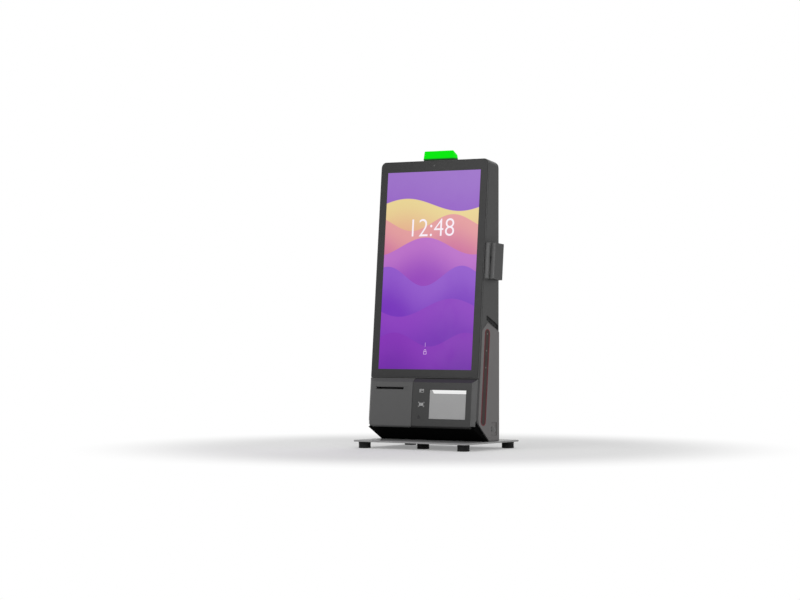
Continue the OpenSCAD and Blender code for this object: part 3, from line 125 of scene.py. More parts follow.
class Graph:
    """Adds and links nodes in one shader tree."""

    def __init__(self, tree: NodeTree) -> None:
        """Starts on a tree."""
        self.tree = tree

    @classmethod
    def blank(cls, owner: Union[Material, World]) -> "Graph":
        """Empties the shader tree of a material or a world.

        Args:
            owner: The material or the world.

        Returns:
            The graph of its tree.
        """
        owner.use_nodes = True
        owner.node_tree.nodes.clear()
        return cls(owner.node_tree)

    def add(self, kind: str, **settings: object) -> Node:
        """Adds a node.

        Args:
            kind: Type of the node.
            settings: Properties to set on it.

        Returns:
            The new node.
        """
        node = self.tree.nodes.new(kind)
        for key, value in settings.items():
            setattr(node, key, value)
        return node

    def wire(self, node: Node, inputs: Inputs) -> Node:
        """Links or sets inputs of a node.

        Args:
            node: The node.
            inputs: Socket to link or constant to set, by input.

        Returns:
            The same node.
        """
        for key, value in inputs.items():
            socket = node.inputs[key]
            if isinstance(value, NodeSocket):
                self.tree.links.new(value, socket)
            elif socket.type == "RGBA":
                socket.default_value = (*value, 1.0)
            else:
                socket.default_value = value
        return node

    def run(self, kind: str, inputs: Inputs, output: Union[int, str] = 0, **settings: object) -> NodeSocket:
        """Output of a new node with its inputs and settings."""
        return self.wire(self.add(kind, **settings), inputs).outputs[output]

    def math(self, operation: str, *values: Value, clamp: bool = False) -> NodeSocket:
        """Result of an operation on numbers, kept between 0 and 1 if clamped."""
        return self.run("ShaderNodeMath", dict(enumerate(values)), operation=operation, use_clamp=clamp)

    def product(self, first: Value, second: Value, third: Value) -> NodeSocket:
        """Product of three numbers."""
        return self.math("MULTIPLY", self.math("MULTIPLY", first, second), third)

    def length(self, across: NodeSocket, along: NodeSocket) -> NodeSocket:
        """Length of the slope over two sides at a right angle."""
        squares = [self.math("MULTIPLY", side, side) for side in (across, along)]
        return self.math("SQRT", self.math("ADD", *squares))

    def blend(self, share: Value, first: Value, second: Value) -> NodeSocket:
        """Colour between the first, at a share of 0, and the second, at 1."""
        return self.run("ShaderNodeMix", {0: share, 6: first, 7: second}, 2, data_type="RGBA")

    def mottle(self, share: Value, colour: Colour, swing: float) -> NodeSocket:
        """Colour that swings to both sides of its own value."""
        return self.blend(share, shade(colour, 1 - swing), shade(colour, 1 + swing))

    def ease(self, value: Value, low: float, high: float) -> NodeSocket:
        """Number that rises smoothly from 0 at low to 1 at high."""
        return self.run("ShaderNodeMapRange", {0: value, 1: low, 2: high}, interpolation_type="SMOOTHSTEP")

    def spread(self, value: Value, low: Value, high: Value) -> NodeSocket:
        """Number mapped from 0 and 1 to low and high."""
        return self.run("ShaderNodeMapRange", {0: value, 3: low, 4: high})

    def about(self, share: Value, middle: float, swing: float) -> NodeSocket:
        """Number that swings to both sides of its middle."""
        return self.spread(share, middle - swing, middle + swing)

    def contrast(self, value: Value, amount: Value) -> NodeSocket:
        """Number with its distance from one half scaled by an amount."""
        swing = self.math("MULTIPLY", self.math("SUBTRACT", value, 0.5), amount)
        return self.math("ADD", swing, 0.5, clamp=True)

    def noise(self, place: NodeSocket, scale: Value, detail: float) -> NodeSocket:
        """Cloudy noise around one half: scale is its cells in a metre, detail its finer layers."""
        return self.run("ShaderNodeTexNoise", {"Vector": place, "Scale": scale, "Detail": detail})

    def place(self, kind: str = "Object") -> NodeSocket:
        """Coordinates of the shaded point."""
        return self.add("ShaderNodeTexCoord").outputs[kind]

    def facing(self) -> NodeSocket:
        """True normal of the shaded face."""
        return self.add("ShaderNodeNewGeometry").outputs["True Normal"]

    def split(self, vector: NodeSocket) -> Sockets:
        """X, Y and Z of a vector."""
        return self.wire(self.add("ShaderNodeSeparateXYZ"), {0: vector}).outputs

    def use(self, effect: Effect, **inputs: Value) -> Sockets:
        """Outputs of a shared effect with its own values."""
        return self.wire(self.add("ShaderNodeGroup", node_tree=EffectLibrary.tree(effect)), inputs).outputs

    def smeared(self, amount: float, roughness: float) -> NodeSocket:
        """Roughness with faint smears of touched gloss."""
        return self.math("ADD", self.use(Effect.SMEAR, Amount=amount)["Value"], roughness, clamp=True)

    def rounded(self, radius: float) -> NodeSocket:
        """Normal that rounds small edges off."""
        return self.use(Effect.ROUNDED, Radius=radius)["Normal"]

    def relief(self, strength: float, distance: float, **inputs: NodeSocket) -> NodeSocket:
        """Normal of a bumpy surface with its height and its normal before."""
        return self.run("ShaderNodeBump", {"Strength": strength, "Distance": distance, **inputs})


class EffectLibrary:
    """Builds each shared effect once, as a node group."""

    built: dict[Effect, NodeTree] = {}

    @classmethod
    def tree(cls, effect: Effect) -> NodeTree:
        """Finds or builds an effect.

        Args:
            effect: Which effect.

        Returns:
            Its node group.
        """
        if effect not in cls.built:
            makers = {Effect.GRAIN: cls.grain, Effect.WEAR: cls.wear, Effect.DUST: cls.dust,
                      Effect.SMEAR: cls.smear, Effect.BRUSH: cls.brush, Effect.ROUNDED: cls.rounded}
            name, inputs = effect.value
            tree = bpy.data.node_groups.new(name, "ShaderNodeTree")
            for key, value in inputs.items():
                socket = tree.interface.new_socket(key, in_out="INPUT", socket_type="NodeSocketFloat")
                socket.default_value = value
            graph = Graph(tree)
            results = makers[effect](graph, graph.add("NodeGroupInput").outputs)
            for key, value in results.items():
                kind = "NodeSocketVector" if value.type == "VECTOR" else "NodeSocketFloat"
                tree.interface.new_socket(key, in_out="OUTPUT", socket_type=kind)
            graph.wire(graph.add("NodeGroupOutput"), results)
            cls.built[effect] = tree
            log.info("effect %s", name)
        return cls.built[effect]

    @staticmethod
    def grain(graph: Graph, given: Sockets) -> Inputs:
        """Fine grain with slow mottling.

        Args:
            graph: Graph of the group.
            given: The group's inputs.

        Returns:
            Its tone and height.
        """
        place = graph.place()
        fine = graph.noise(place, scale=graph.math("DIVIDE", 1.0, given["Size"]), detail=2.0)
        broad = graph.noise(place, scale=9.0, detail=3.0)
        parts = [graph.math("MULTIPLY", noise, share) for noise, share in ((fine, 0.55), (broad, 0.45))]
        mixed = graph.math("ADD", *parts)
        return {"Tone": graph.contrast(mixed, given["Contrast"]), "Height": fine}

    @staticmethod
    def wear(graph: Graph, given: Sockets) -> Inputs:
        """Worn edges, in patches.

        Args:
            graph: Graph of the group.
            given: The group's inputs.

        Returns:
            Its mask.
        """
        soft = graph.run("ShaderNodeBevel", {"Radius": given["Radius"]}, samples=4)
        alike = graph.run("ShaderNodeVectorMath", {0: soft, 1: graph.facing()}, "Value",
                          operation="DOT_PRODUCT")
        bent = graph.ease(graph.math("SUBTRACT", 1.0, alike), low=0.02, high=0.3)
        patchy = graph.ease(graph.noise(graph.place(), scale=60.0, detail=4.0), low=0.35, high=0.65)
        return {"Mask": graph.product(bent, patchy, given["Amount"])}

    @staticmethod
    def dust(graph: Graph, given: Sockets) -> Inputs:
        """Thin dust on faces that look up.

        Args:
            graph: Graph of the group.
            given: The group's inputs.

        Returns:
            Its mask.
        """
        upward = graph.ease(graph.split(graph.facing())["Z"], low=0.4, high=1.0)
        patchy = graph.spread(graph.noise(graph.place(), scale=45.0, detail=5.0), low=0.3, high=1.0)
        return {"Mask": graph.product(upward, patchy, given["Amount"])}

    @staticmethod
    def smear(graph: Graph, given: Sockets) -> Inputs:
        """Faint smears of touched gloss, as a value to add to the roughness."""
        cloud = graph.ease(graph.noise(graph.place(), scale=28.0, detail=4.0), low=0.45, high=0.75)
        return {"Value": graph.math("MULTIPLY", cloud, given["Amount"])}

    @staticmethod
    def brush(graph: Graph, given: Sockets) -> Inputs:
        """Long fine lines along X.

        Args:
            graph: Graph of the group.
            given: The group's inputs.

        Returns:
            Its tone and height.
        """
        cells = (30.0, 2500.0, 2500.0)
        stretched = graph.run("ShaderNodeMapping", {"Vector": graph.place(), "Scale": cells})
        lines = graph.noise(stretched, scale=1.0, detail=2.0)
        return {"Tone": graph.contrast(lines, given["Contrast"]), "Height": lines}

    @staticmethod
    def rounded(graph: Graph, given: Sockets) -> Inputs:
        """Normal that rounds small edges off."""
        return {"Normal": graph.run("ShaderNodeBevel", {"Radius": given["Radius"]}, samples=4)}


@dataclass(frozen=True)
class GlassFrame:
    """Frame of the leaning glass: x across, d behind the glass and s up its slope."""

    centre: Place = (-0.006, -0.0305, 0.4265)
    lean: float = math.radians(5)

    def at(self, x: float, d: float, s: float) -> Vector:
        """Point of the packed frame at a place in the glass's frame."""
        cos, sin = math.cos(self.lean), math.sin(self.lean)
        return Vector(self.centre) + Vector((x, d * cos + s * sin, s * cos - d * sin))

    def matrix(self, x: float, d: float, s: float) -> Matrix:
        """Matrix that lays a drawing on the slope, its Z out of the glass."""
        turn = Matrix.Rotation(math.pi / 2 - self.lean, 4, "X")
        return Matrix.Translation(self.at(x, d, s)) @ turn

    def flat(self, point: Vector) -> Place:
        """Finds a point's place in the glass's frame.

        Args:
            point: Point in the packed frame.

        Returns:
            Its x, d and s.
        """
        cos, sin = math.cos(self.lean), math.sin(self.lean)
        off = point - Vector(self.centre)
        return off.x, off.y * cos - off.z * sin, off.y * sin + off.z * cos

    def behind(self, graph: Graph) -> NodeSocket:
        """Finds how far behind the glass a shaded point lies.

        Args:
            graph: Graph to add to.

        Returns:
            The depth.
        """
        spot = graph.split(graph.place())
        back = graph.math("SUBTRACT", spot["Y"], self.centre[1])
        above = graph.math("SUBTRACT", spot["Z"], self.centre[2])
        return graph.math("SUBTRACT", graph.math("MULTIPLY", back, math.cos(self.lean)),
                          graph.math("MULTIPLY", above, math.sin(self.lean)))


GLASS = GlassFrame()
DUST_COLOUR = grey(150)


class Finish:
    """Base of the finishes: each makes its material once."""

    made: dict[str, Material] = {}
    name: str

    def look(self, graph: Graph) -> Inputs:
        """Inputs of the finish's principled shader."""
        raise NotImplementedError

    def material(self) -> Material:
        """Finds or makes the material.

        Returns:
            The finish's material.
        """
        if self.name not in Finish.made:
            material = bpy.data.materials.new(self.name)
            graph = Graph.blank(material)
            shader = graph.run("ShaderNodeBsdfPrincipled", self.look(graph))
            graph.wire(graph.add("ShaderNodeOutputMaterial"), {"Surface": shader})
            Finish.made[self.name] = material
            log.info("finish %s", self.name)
        return Finish.made[self.name]


@dataclass(frozen=True)
class Surface(Finish):
    """Plastic, rubber or paint with grain, worn edges and a little dust."""

    name: str
    colour: Colour
    roughness: float = 0.5
    specular: float = 0.5
    grain: Grain = Grain.FINE
    edge: float = 0.35 * MM
    wear: float = 0.15
    dust: float = 0.05
    coat: float = 0.0
    swing: float = 0.15
    rough_swing: float = 0.05
    bump: float = 0.2 * MM
    worn_share: float = 0.75
    worn_lift: float = 0.12

    def tone(self, graph: Graph, grain: NodeSocket) -> NodeSocket:
        """Colour before wear and dust."""
        return graph.mottle(grain, self.colour, self.swing)

    def look(self, graph: Graph) -> Inputs:
        """Lays wear and dust over the grained colour.

        Args:
            graph: Graph of the material.

        Returns:
            Inputs of the shader.
        """
        size, depth = self.grain.value
        grain = graph.use(Effect.GRAIN, Size=size, Contrast=1.0)
        wear = graph.use(Effect.WEAR, Radius=2 * self.edge, Amount=self.wear)["Mask"]
        dust = graph.use(Effect.DUST, Amount=self.dust)["Mask"]
        pale = tuple(self.worn_share * part + self.worn_lift for part in self.colour)
        worn = graph.blend(wear, self.tone(graph, grain["Tone"]), pale)
        rough = graph.about(grain["Tone"], self.roughness, self.rough_swing)
        return {"Base Color": graph.blend(dust, worn, DUST_COLOUR),
                "Roughness": graph.math("ADD", rough, dust, clamp=True),
                "Specular IOR Level": self.specular, "Coat Weight": self.coat,
                "Normal": graph.relief(depth, self.bump, Height=grain["Height"],
                                       Normal=graph.rounded(self.edge))}


@dataclass(frozen=True)
class PaintedSheen(Surface):
    """Plastic with a painted sheen: paler in front of a depth behind the glass, for the light that its
    front faces catch.
    """

    sheen_colour: Colour = grey(91)
    fade: Point = (15.0 * MM, 17.5 * MM)

    def tone(self, graph: Graph, grain: NodeSocket) -> NodeSocket:
        """Colour before wear and dust, with the painted sheen paler in front of the fade's depth behind the
        glass.
        """
        painted_sheen = graph.mottle(grain, self.sheen_colour, self.swing)
        return graph.blend(graph.ease(GLASS.behind(graph), *self.fade), painted_sheen, super().tone(graph, grain))


@dataclass(frozen=True)
class Metal(Finish):
    """Bare metal with brush lines and bright edges."""

    name: str
    colour: Colour
    roughness: float = 0.35
    rough_swing: float = 0.08
    edge: float = 0.25 * MM
    wear: float = 0.5
    bump: float = 0.05 * MM
    bump_strength: float = 0.08
    line_shades: Point = (0.8, 1.15)
    edge_shade: float = 1.4

    def look(self, graph: Graph) -> Inputs:
        """Brushes the metal and brightens its edges.

        Args:
            graph: Graph of the material.

        Returns:
            Inputs of the shader.
        """
        lines = graph.use(Effect.BRUSH, Contrast=1.0)
        tone = graph.blend(lines["Tone"], *(shade(self.colour, factor) for factor in self.line_shades))
        wear = graph.use(Effect.WEAR, Radius=2 * self.edge, Amount=self.wear)["Mask"]
        return {"Base Color": graph.blend(wear, tone, shade(self.colour, self.edge_shade)),
                "Roughness": graph.about(lines["Tone"], self.roughness, self.rough_swing),
                "Metallic": 1.0,
                "Normal": graph.relief(self.bump_strength, self.bump, Height=lines["Height"],
                                       Normal=graph.rounded(self.edge))}


@dataclass(frozen=True)
class Gloss(Finish):
    """Smooth face with faint smears."""

    name: str
    colour: Colour
    roughness: float = 0.12
    smears: float = 0.08
    specular: float = 0.5
    edge: float = 0.3 * MM
    swing: float = 0.1

    def look(self, graph: Graph) -> Inputs:
        """Mottles the colour a little and smears the gloss.

        Args:
            graph: Graph of the material.

        Returns:
            Inputs of the shader.
        """
        grain = graph.use(Effect.GRAIN, Size=3 * MM, Contrast=0.8)
        return {"Base Color": graph.mottle(grain["Tone"], self.colour, self.swing),
                "Roughness": graph.smeared(self.smears, self.roughness),
                "Specular IOR Level": self.specular, "Normal": graph.rounded(self.edge)}


@dataclass(frozen=True)
class Glow(Finish):
    """Lit plastic that fades from its foot to its top."""

    name: str
    low_colour: Colour
    high_colour: Colour
    low: float
    high: float
    base: Colour
    roughness: float = 0.3
    specular: float = 0.5
    edge: float = 0.4 * MM
    swing: float = 0.1

    def look(self, graph: Graph) -> Inputs:
        """Fades the light over the piece's height.

        Args:
            graph: Graph of the material.

        Returns:
            Inputs of the shader.
        """
        share = graph.ease(graph.split(graph.place())["Z"], self.low, self.high)
        grain = graph.use(Effect.GRAIN, Size=4 * MM, Contrast=0.5)
        return {"Base Color": graph.mottle(grain["Tone"], self.base, self.swing),
                "Emission Color": graph.blend(share, self.low_colour, self.high_colour),
                "Emission Strength": 1.0, "Roughness": self.roughness,
                "Specular IOR Level": self.specular, "Normal": graph.rounded(self.edge)}


@dataclass(frozen=True)
class Strip(Finish):
    """Smoked lens of a leaning light strip, redder towards its long edges."""

    name: str
    middle: Colour
    border: Colour
    depth: float
    half: float
    fade: Point = (0.25, 0.95)
    mottling: float = 0.2
    roughness: float = 0.4
    smears: float = 0.1
    specular: float = 0.15

    def look(self, graph: Graph) -> Inputs:
        """Tints the lens by its distance from the strip's middle line.

        Args:
            graph: Graph of the material.

        Returns:
            Inputs of the shader.
        """
        off = graph.math("ABSOLUTE", graph.math("SUBTRACT", GLASS.behind(graph), self.depth))
        share = graph.ease(off, *(part * self.half for part in self.fade))
        grain = graph.use(Effect.GRAIN, Size=2 * MM, Contrast=0.8)
        mottled = graph.spread(grain["Tone"], 0.0, self.mottling)
        tint = graph.blend(share, self.middle, self.border)
        return {"Base Color": graph.blend(mottled, tint, self.border),
                "Roughness": graph.smeared(self.smears, self.roughness),
                "Specular IOR Level": self.specular}


@dataclass(frozen=True)
class Wave:
    """One rolling band of the screen's picture, with its crest and depth colours."""

    level: float
    swell: float
    turns: float
    phase: float
    crest: Colour
    deep: Colour


@dataclass(frozen=True)
class Picture(Finish):
    """Lit picture of layered waves under an even sky, laid out on the piece's UV map."""

    name: str
    sky_low: Colour
    sky_high: Colour
    waves: tuple[Wave, ...]
    sky_rise: Point = (0.55, 1.0)
    line: float = 0.0015
    fade: float = 0.22
    glow: float = 0.92
    base: Colour = (0.01, 0.01, 0.012)
    roughness: float = 0.12
    smears: float = 0.08
    specular: float = 0.15

    def look(self, graph: Graph) -> Inputs:
        """Lays the waves over the sky, the nearest last.

        Args:
            graph: Graph of the material.

        Returns:
            Inputs of the shader.
        """
        spot = graph.split(graph.place("UV"))
        colour = graph.blend(graph.ease(spot["Y"], *self.sky_rise), self.sky_low, self.sky_high)
        for wave in self.waves:
            angle = graph.math("MULTIPLY_ADD", spot["X"], 2 * math.pi * wave.turns, wave.phase)
            edge = graph.math("MULTIPLY_ADD", graph.math("SINE", angle), wave.swell, wave.level)
            depth = graph.math("SUBTRACT", edge, spot["Y"])
            body = graph.blend(graph.ease(depth, 0.0, self.fade), wave.crest, wave.deep)
            colour = graph.blend(graph.ease(depth, -self.line, self.line), colour, body)
        return {"Base Color": self.base, "Emission Color": colour, "Emission Strength": self.glow,
                "Roughness": graph.smeared(self.smears, self.roughness),
                "Specular IOR Level": self.specular}


@dataclass(frozen=True)
class Board(Finish):
    """Circuit board with paler tracks and pads."""

    name: str
    colour: Colour
    cells: float = 190.0
    track_edge: Point = (0.02, 0.07)
    track_shade: float = 2.2
    roughness: float = 0.35
    bump: float = 0.05 * MM
    bump_strength: float = 0.2

    def look(self, graph: Graph) -> Inputs:
        """Raises pale tracks between cells.

        Args:
            graph: Graph of the material.

        Returns:
            Inputs of the shader.
        """
        edge = graph.run("ShaderNodeTexVoronoi", {"Vector": graph.place(), "Scale": self.cells},
                         feature="DISTANCE_TO_EDGE", distance="EUCLIDEAN")
        track = graph.math("SUBTRACT", 1.0, graph.ease(edge, *self.track_edge))
        return {"Base Color": graph.blend(track, self.colour, shade(self.colour, self.track_shade)),
                "Roughness": self.roughness,
                "Normal": graph.relief(self.bump_strength, self.bump, Height=track)}


@dataclass(frozen=True)
class Wound(Finish):
    """Paper or card wound round an axis along X, with its turns showing on the ends."""

    name: str
    colour: Colour
    axis: Point
    pitch: float
    line: Point = (0.4, 0.8)
    line_shade: float = 0.85
    roughness: float = 0.8
    specular: float = 0.2

    def look(self, graph: Graph) -> Inputs:
        """Draws a fine line for each turn.

        Args:
            graph: Graph of the material.

        Returns:
            Inputs of the shader.
        """
        spot = graph.split(graph.place())
        sides = [graph.math("SUBTRACT", spot[key], value) for key, value in zip("YZ", self.axis)]
        turns = graph.math("SINE", graph.math("MULTIPLY", graph.length(*sides), 2 * math.pi / self.pitch))
        grain = graph.use(Effect.GRAIN, Size=0.7 * MM, Contrast=0.6)
        line = graph.math("MULTIPLY", graph.spread(turns, *self.line), grain["Tone"])
        return {"Base Color": graph.blend(line, shade(self.colour, self.line_shade), self.colour),
                "Roughness": self.roughness, "Specular IOR Level": self.specular}


# Y and Z of the paper roll's axis
ROLL_AXIS = (-0.0199, 0.0763)


class Palette:
    """Finishes of the record's material slots, and of the small pieces that have none."""

    PLATE = Surface("plate_paint", grey(150), 0.45, specular=0.2, grain=Grain.SMOOTH, wear=0.2, dust=0.02,
                    coat=0.15)
    RUBBER = Surface("foot_rubber", grey(24), 0.8, specular=0.25, grain=Grain.COARSE, wear=0.0)
    SCREW = Metal("screw_steel", grey(165), 0.3)
    STEEL = Metal("inner_steel", grey(195), 0.4)
    SHELL = Surface("shell_plastic", grey(62), 0.55, specular=0.4)
    FRAME = Surface("frame_plastic", grey(46), 0.45)
    GLASS = Gloss("touch_glass", grey(64), 0.1, specular=0.06)
    CHIN = Surface("chin_plastic", grey(4), 0.85, specular=0.03, wear=0.02, dust=0.0)
    COVER = Surface("cover_plastic", srgb(104, 102, 102), 0.55, specular=0.4, wear=0.25)
    RED = Surface("strip_red", srgb(112, 34, 42), 0.5, specular=0.2, grain=Grain.SMOOTH)
    SMOKE = Strip("strip_smoke", srgb(48, 43, 39), srgb(72, 22, 28), 29.6 * MM, 9.2 * MM)
    DOT = Glow("dot_white", srgb(70, 62, 60), srgb(84, 74, 70), 0.0, 0.3, grey(80), specular=0.2)
    DOOR = Surface("door_plastic", grey(79), 0.55, specular=0.4)
    SCANNER = Gloss("scanner_gloss", grey(36), 0.28, specular=0.38)
    PANE = Gloss("window_pane", grey(158), 0.15)
    # Painted reflection: the light bar glows white for the reflection along the top of the scan window.
    PAINTED_REFLECTION = Glow("light_white", grey(234), grey(238), 0.1, 0.2, grey(40), specular=0.1)
    BOARD = Board("board_green", srgb(14, 82, 40))
    BLACK = Surface("case_black", grey(18), 0.6, specular=0.3)
    # Reader plastic with a painted sheen: its front faces are painted paler for the light they catch.
    READER = PaintedSheen("reader_plastic", grey(61), 0.5, specular=0.4)
    LENS = Gloss("lens_dark", srgb(8, 8, 12), 0.05)
    GEAR = Surface("gear_white", srgb(226, 224, 210), 0.5, wear=0.0)
    BRASS = Metal("brass", srgb(200, 165, 95), 0.3)
    MOTOR = Metal("motor_steel", grey(170), 0.32)
    PAPER = Wound("paper", grey(240), ROLL_AXIS, 0.5 * MM)
    CARD = Wound("card_tube", srgb(150, 122, 92), ROLL_AXIS, 0.8 * MM)
    LAMP = Glow("lamp_green", srgb(26, 72, 30), srgb(0, 230, 4), 0.6935, 0.6978, srgb(0, 40, 4), 0.5,
                specular=0.04)
    SUPPLY = Surface("supply_case", grey(150), 0.45)
    BUTTON = Surface("button_grey", grey(86), 0.5, grain=Grain.SMOOTH)
    INK = Surface("pictogram_ink", grey(205), 0.5, grain=Grain.SMOOTH, wear=0.0, dust=0.0)
    DIGITS = Glow("screen_white", srgb(236, 226, 238), srgb(240, 230, 240), 0.3, 0.6, grey(10))
    SIGN = Glow("screen_lilac", srgb(206, 164, 222), srgb(210, 170, 226), 0.2, 0.3, grey(10))
    PUPIL = Gloss("camera_glass", grey(58), 0.2, specular=0.16)
    CASE = Metal("display_case", grey(120), 0.45)
    SCREEN = Picture("display", srgb(138, 62, 196), srgb(158, 112, 204), (
        Wave(0.83, 0.035, 0.85, 0.4, srgb(238, 216, 150), srgb(232, 172, 140)),
        Wave(0.74, 0.040, 1.15, 2.6, srgb(232, 160, 160), srgb(206, 108, 158)),
        Wave(0.62, 0.045, 0.95, 5.2, srgb(190, 112, 204), srgb(150, 62, 190)),
        Wave(0.47, 0.050, 1.25, 1.2, srgb(146, 84, 206), srgb(118, 40, 190)),
        Wave(0.31, 0.045, 0.90, 3.6, srgb(140, 56, 194), srgb(116, 32, 180)),
        Wave(0.15, 0.035, 1.30, 0.3, srgb(132, 40, 184), srgb(108, 24, 166))))


FINISH_OF = {finish.name: finish for finish in vars(Palette).values() if isinstance(finish, Finish)}
Coats = tuple[tuple[str, Finish], ...]


def rectangle(x0: float, y0: float, x1: float, y1: float) -> Outline:
    """Corners of a rectangle from its left, lower, right and upper sides."""
    return [(x0, y0), (x1, y0), (x1, y1), (x0, y1)]


def band(outer: Outline, inner: Outline) -> list[Outline]:
    """Four-sided faces between two outlines with equally many points."""
    count = len(outer)
    return [[outer[i], outer[(i + 1) % count], inner[(i + 1) % count], inner[i]] for i in range(count)]


def circle(x: float, y: float, radius: float, count: int = 32, sweep: float = 2 * math.pi) -> Outline:
    """Draws a circle, or an arc that starts on its right side.

    Args:
        x: Middle across.
        y: Middle up.
        radius: Radius.
        count: Number of points.
        sweep: Angle of the arc.

    Returns:
        The points; a full circle's last point isn't its first.
    """
    steps = count if sweep == 2 * math.pi else count - 1
    angles = [sweep * i / steps for i in range(count)]
    return [(x + radius * math.cos(angle), y + radius * math.sin(angle)) for angle in angles]


def put(name: str, data: bpy.types.ID) -> Object:
    """Puts a mesh, curve, light or camera into the scene.

    Args:
        name: Name of the object.
        data: What it shows.

    Returns:
        The object.
    """
    thing = bpy.data.objects.new(name, data)
    bpy.context.scene.collection.objects.link(thing)
    return thing


def settle(draft: Object) -> Mesh:
    """Takes the final mesh of a draft and removes the draft.

    Args:
        draft: Object with modifiers or a curve.

    Returns:
        Its final mesh.
    """
    depsgraph = bpy.context.evaluated_depsgraph_get()
    mesh = bpy.data.meshes.new_from_object(draft.evaluated_get(depsgraph))
    bpy.data.objects.remove(draft)
    return mesh


class Workshop:
    """Makes dressed pieces from packed nodes and drawings."""

    def __init__(self) -> None:
        """Reads each node's body and material slot from the record."""
        record = frame["record"]
        self.nodes: dict[str, Object] = frame["nodes"]
        self.body_of = {node: body for body, members in record["behaviour"]["bodies"].items()
                        for node in members}
        self.slot_of = {part["node"]: part["material_slot"] for part in record["subparts"]}
        self.slots = {entry["slot"] for entry in record["materials"]}

    def piece(self, name: str, mesh: Mesh, finish: Finish, body: str,
              stands_for: Sequence[str] = ()) -> Object:
        """Puts a mesh into the scene as a piece of a body.

        Args:
            name: Name of the piece.
            mesh: Its mesh in the packed frame.
            finish: Its finish.
            body: Body that it rides on.
            stands_for: Packed nodes that it replaces.

        Returns:
            The piece.
        """
        piece = put(name, mesh)
        if not mesh.materials:
            mesh.materials.append(finish.material())
        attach(piece, body)
        if stands_for:
            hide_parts(*stands_for)
        log.info("piece %s on %s in %s for %s", name, body, finish.name, ", ".join(stands_for) or "no node")
        return piece

    def paint(self, node: str, finish: Optional[Finish] = None) -> None:
        """Gives a packed node a finish.

        Args:
            node: Name of the node.
            finish: The finish, or none for that of the node's slot.
        """
        coat = finish or FINISH_OF[self.slot_of[node]]
        for slot in self.nodes[node].material_slots:
            slot.material = coat.material()
        log.info("node %s in %s", node, coat.name)

    def clean(self, node: str) -> BMesh:
        """Copies a packed node with its flat faces joined up.

        Args:
            node: Name of the node.

        Returns:
            The copy.
        """
        shape = bmesh.new()
        source = self.nodes[node].data
        points = [shape.verts.new(vertex.co) for vertex in source.vertices]
        for polygon in source.polygons:
            shape.faces.new([points[i] for i in polygon.vertices])
        bmesh.ops.remove_doubles(shape, verts=shape.verts[:], dist=WELD)
        bmesh.ops.dissolve_limit(shape, angle_limit=FLAT, verts=shape.verts[:], edges=shape.edges[:],
                                 use_dissolve_boundaries=False)
        return shape

    @staticmethod
    def mesh(name: str, shape: BMesh) -> Mesh:
        """Turns a drawing into a mesh with its normals weighted by area.

        Args:
            name: Name of the mesh.
            shape: The drawing, which is freed.

        Returns:
            The mesh.
        """
        draft = bpy.data.meshes.new(name + "_draft")
        shape.to_mesh(draft)
        shape.free()
        draft.shade_smooth()
        draft.set_sharp_from_angle(angle=SMOOTH)
        holder = put(name + "_draft", draft)
        holder.modifiers.new("weight", "WEIGHTED_NORMAL").keep_sharp = True
        final = settle(holder)
        bpy.data.meshes.remove(draft)
        final.name = name
        return final

    @staticmethod
    def crossings(shape: BMesh) -> list[Vector]:
        """Finds where a drawing's faces cut through each other or fold over.

        Args:
            shape: The drawing.

        Returns:
            Middle of the smaller face of each pair that crosses, and of each folded edge.
        """
        shape.normal_update()
        shape.faces.ensure_lookup_table()
        faces = shape.faces
        pairs = BVHTree.FromBMesh(shape, epsilon=0.0).overlap(BVHTree.FromBMesh(shape, epsilon=0.0))
        crossed = [min((faces[a], faces[b]), key=lambda face: face.calc_area())
                   for a, b in pairs if a < b and not set(faces[a].verts) & set(faces[b].verts)]
        spots = [face.calc_center_median() for face in crossed]
        spots += [(edge.verts[0].co + edge.verts[1].co) / 2 for edge in shape.edges
                  if len(edge.link_faces) == 2 and edge.calc_face_angle(0.0) > FOLDED]
        return spots

    @staticmethod
    def close(edge: BMEdge, spots: Iterable[Vector], reach: float) -> bool:
        """Tells whether an edge passes near any of some points.

        Args:
            edge: The edge.
            spots: The points.
            reach: Distance that counts as near.

        Returns:
            Whether one is near.
        """
        start, end = (vertex.co for vertex in edge.verts)
        for spot in spots:
            foot, share = intersect_point_line(spot, start, end)
            nearest = foot if 0.0 < share < 1.0 else start if share <= 0.0 else end
            if (spot - nearest).length < reach:
                return True
        return False

    def bevel(self, shape: BMesh, width: float, tries: int = 10, room: float = 2.5) -> BMesh:
        """Rounds a drawing's sharp edges, apart from those that crowd each other.

        Args:
            shape: The drawing, which is freed where a rounded copy takes its place.
            width: Width of the rounding.
            tries: How often crowded edges are left out and the rest is tried again.
            room: Widths round a crossing within which an edge counts as crowded.

        Returns:
            The rounded drawing, or the drawing as it was where no try came out clear.
        """
        shape.edges.index_update()
        shape.edges.ensure_lookup_table()
        sharp = [edge.index for edge in shape.edges if len(edge.link_faces) == 2
                 and edge.calc_face_angle(0.0) > SHARP]
        for _ in range(tries):
            trial = shape.copy()
            trial.edges.ensure_lookup_table()
            bmesh.ops.bevel(trial, geom=[trial.edges[i] for i in sharp], offset=width, offset_type="OFFSET",
                            segments=3, profile=0.5, affect="EDGES", clamp_overlap=False)
            spots = self.crossings(trial)
            clear = [i for i in sharp if not self.close(shape.edges[i], spots, room * width)]
            if len(clear) == len(sharp):
                shape.free()
                return trial
            trial.free()
            sharp = clear
        return shape

    def dress(self, node: str, width: float) -> Object:
        """Replaces a packed node by a copy with rounded edges in the finish of its slot.

        Args:
            node: Name of the node.
            width: Width of the rounding.

        Returns:
            The piece.
        """
        name = f"{node}_finished"
        mesh = self.mesh(name, self.bevel(self.clean(node), width))
        return self.piece(name, mesh, FINISH_OF[self.slot_of[node]], self.body_of[node], (node,))

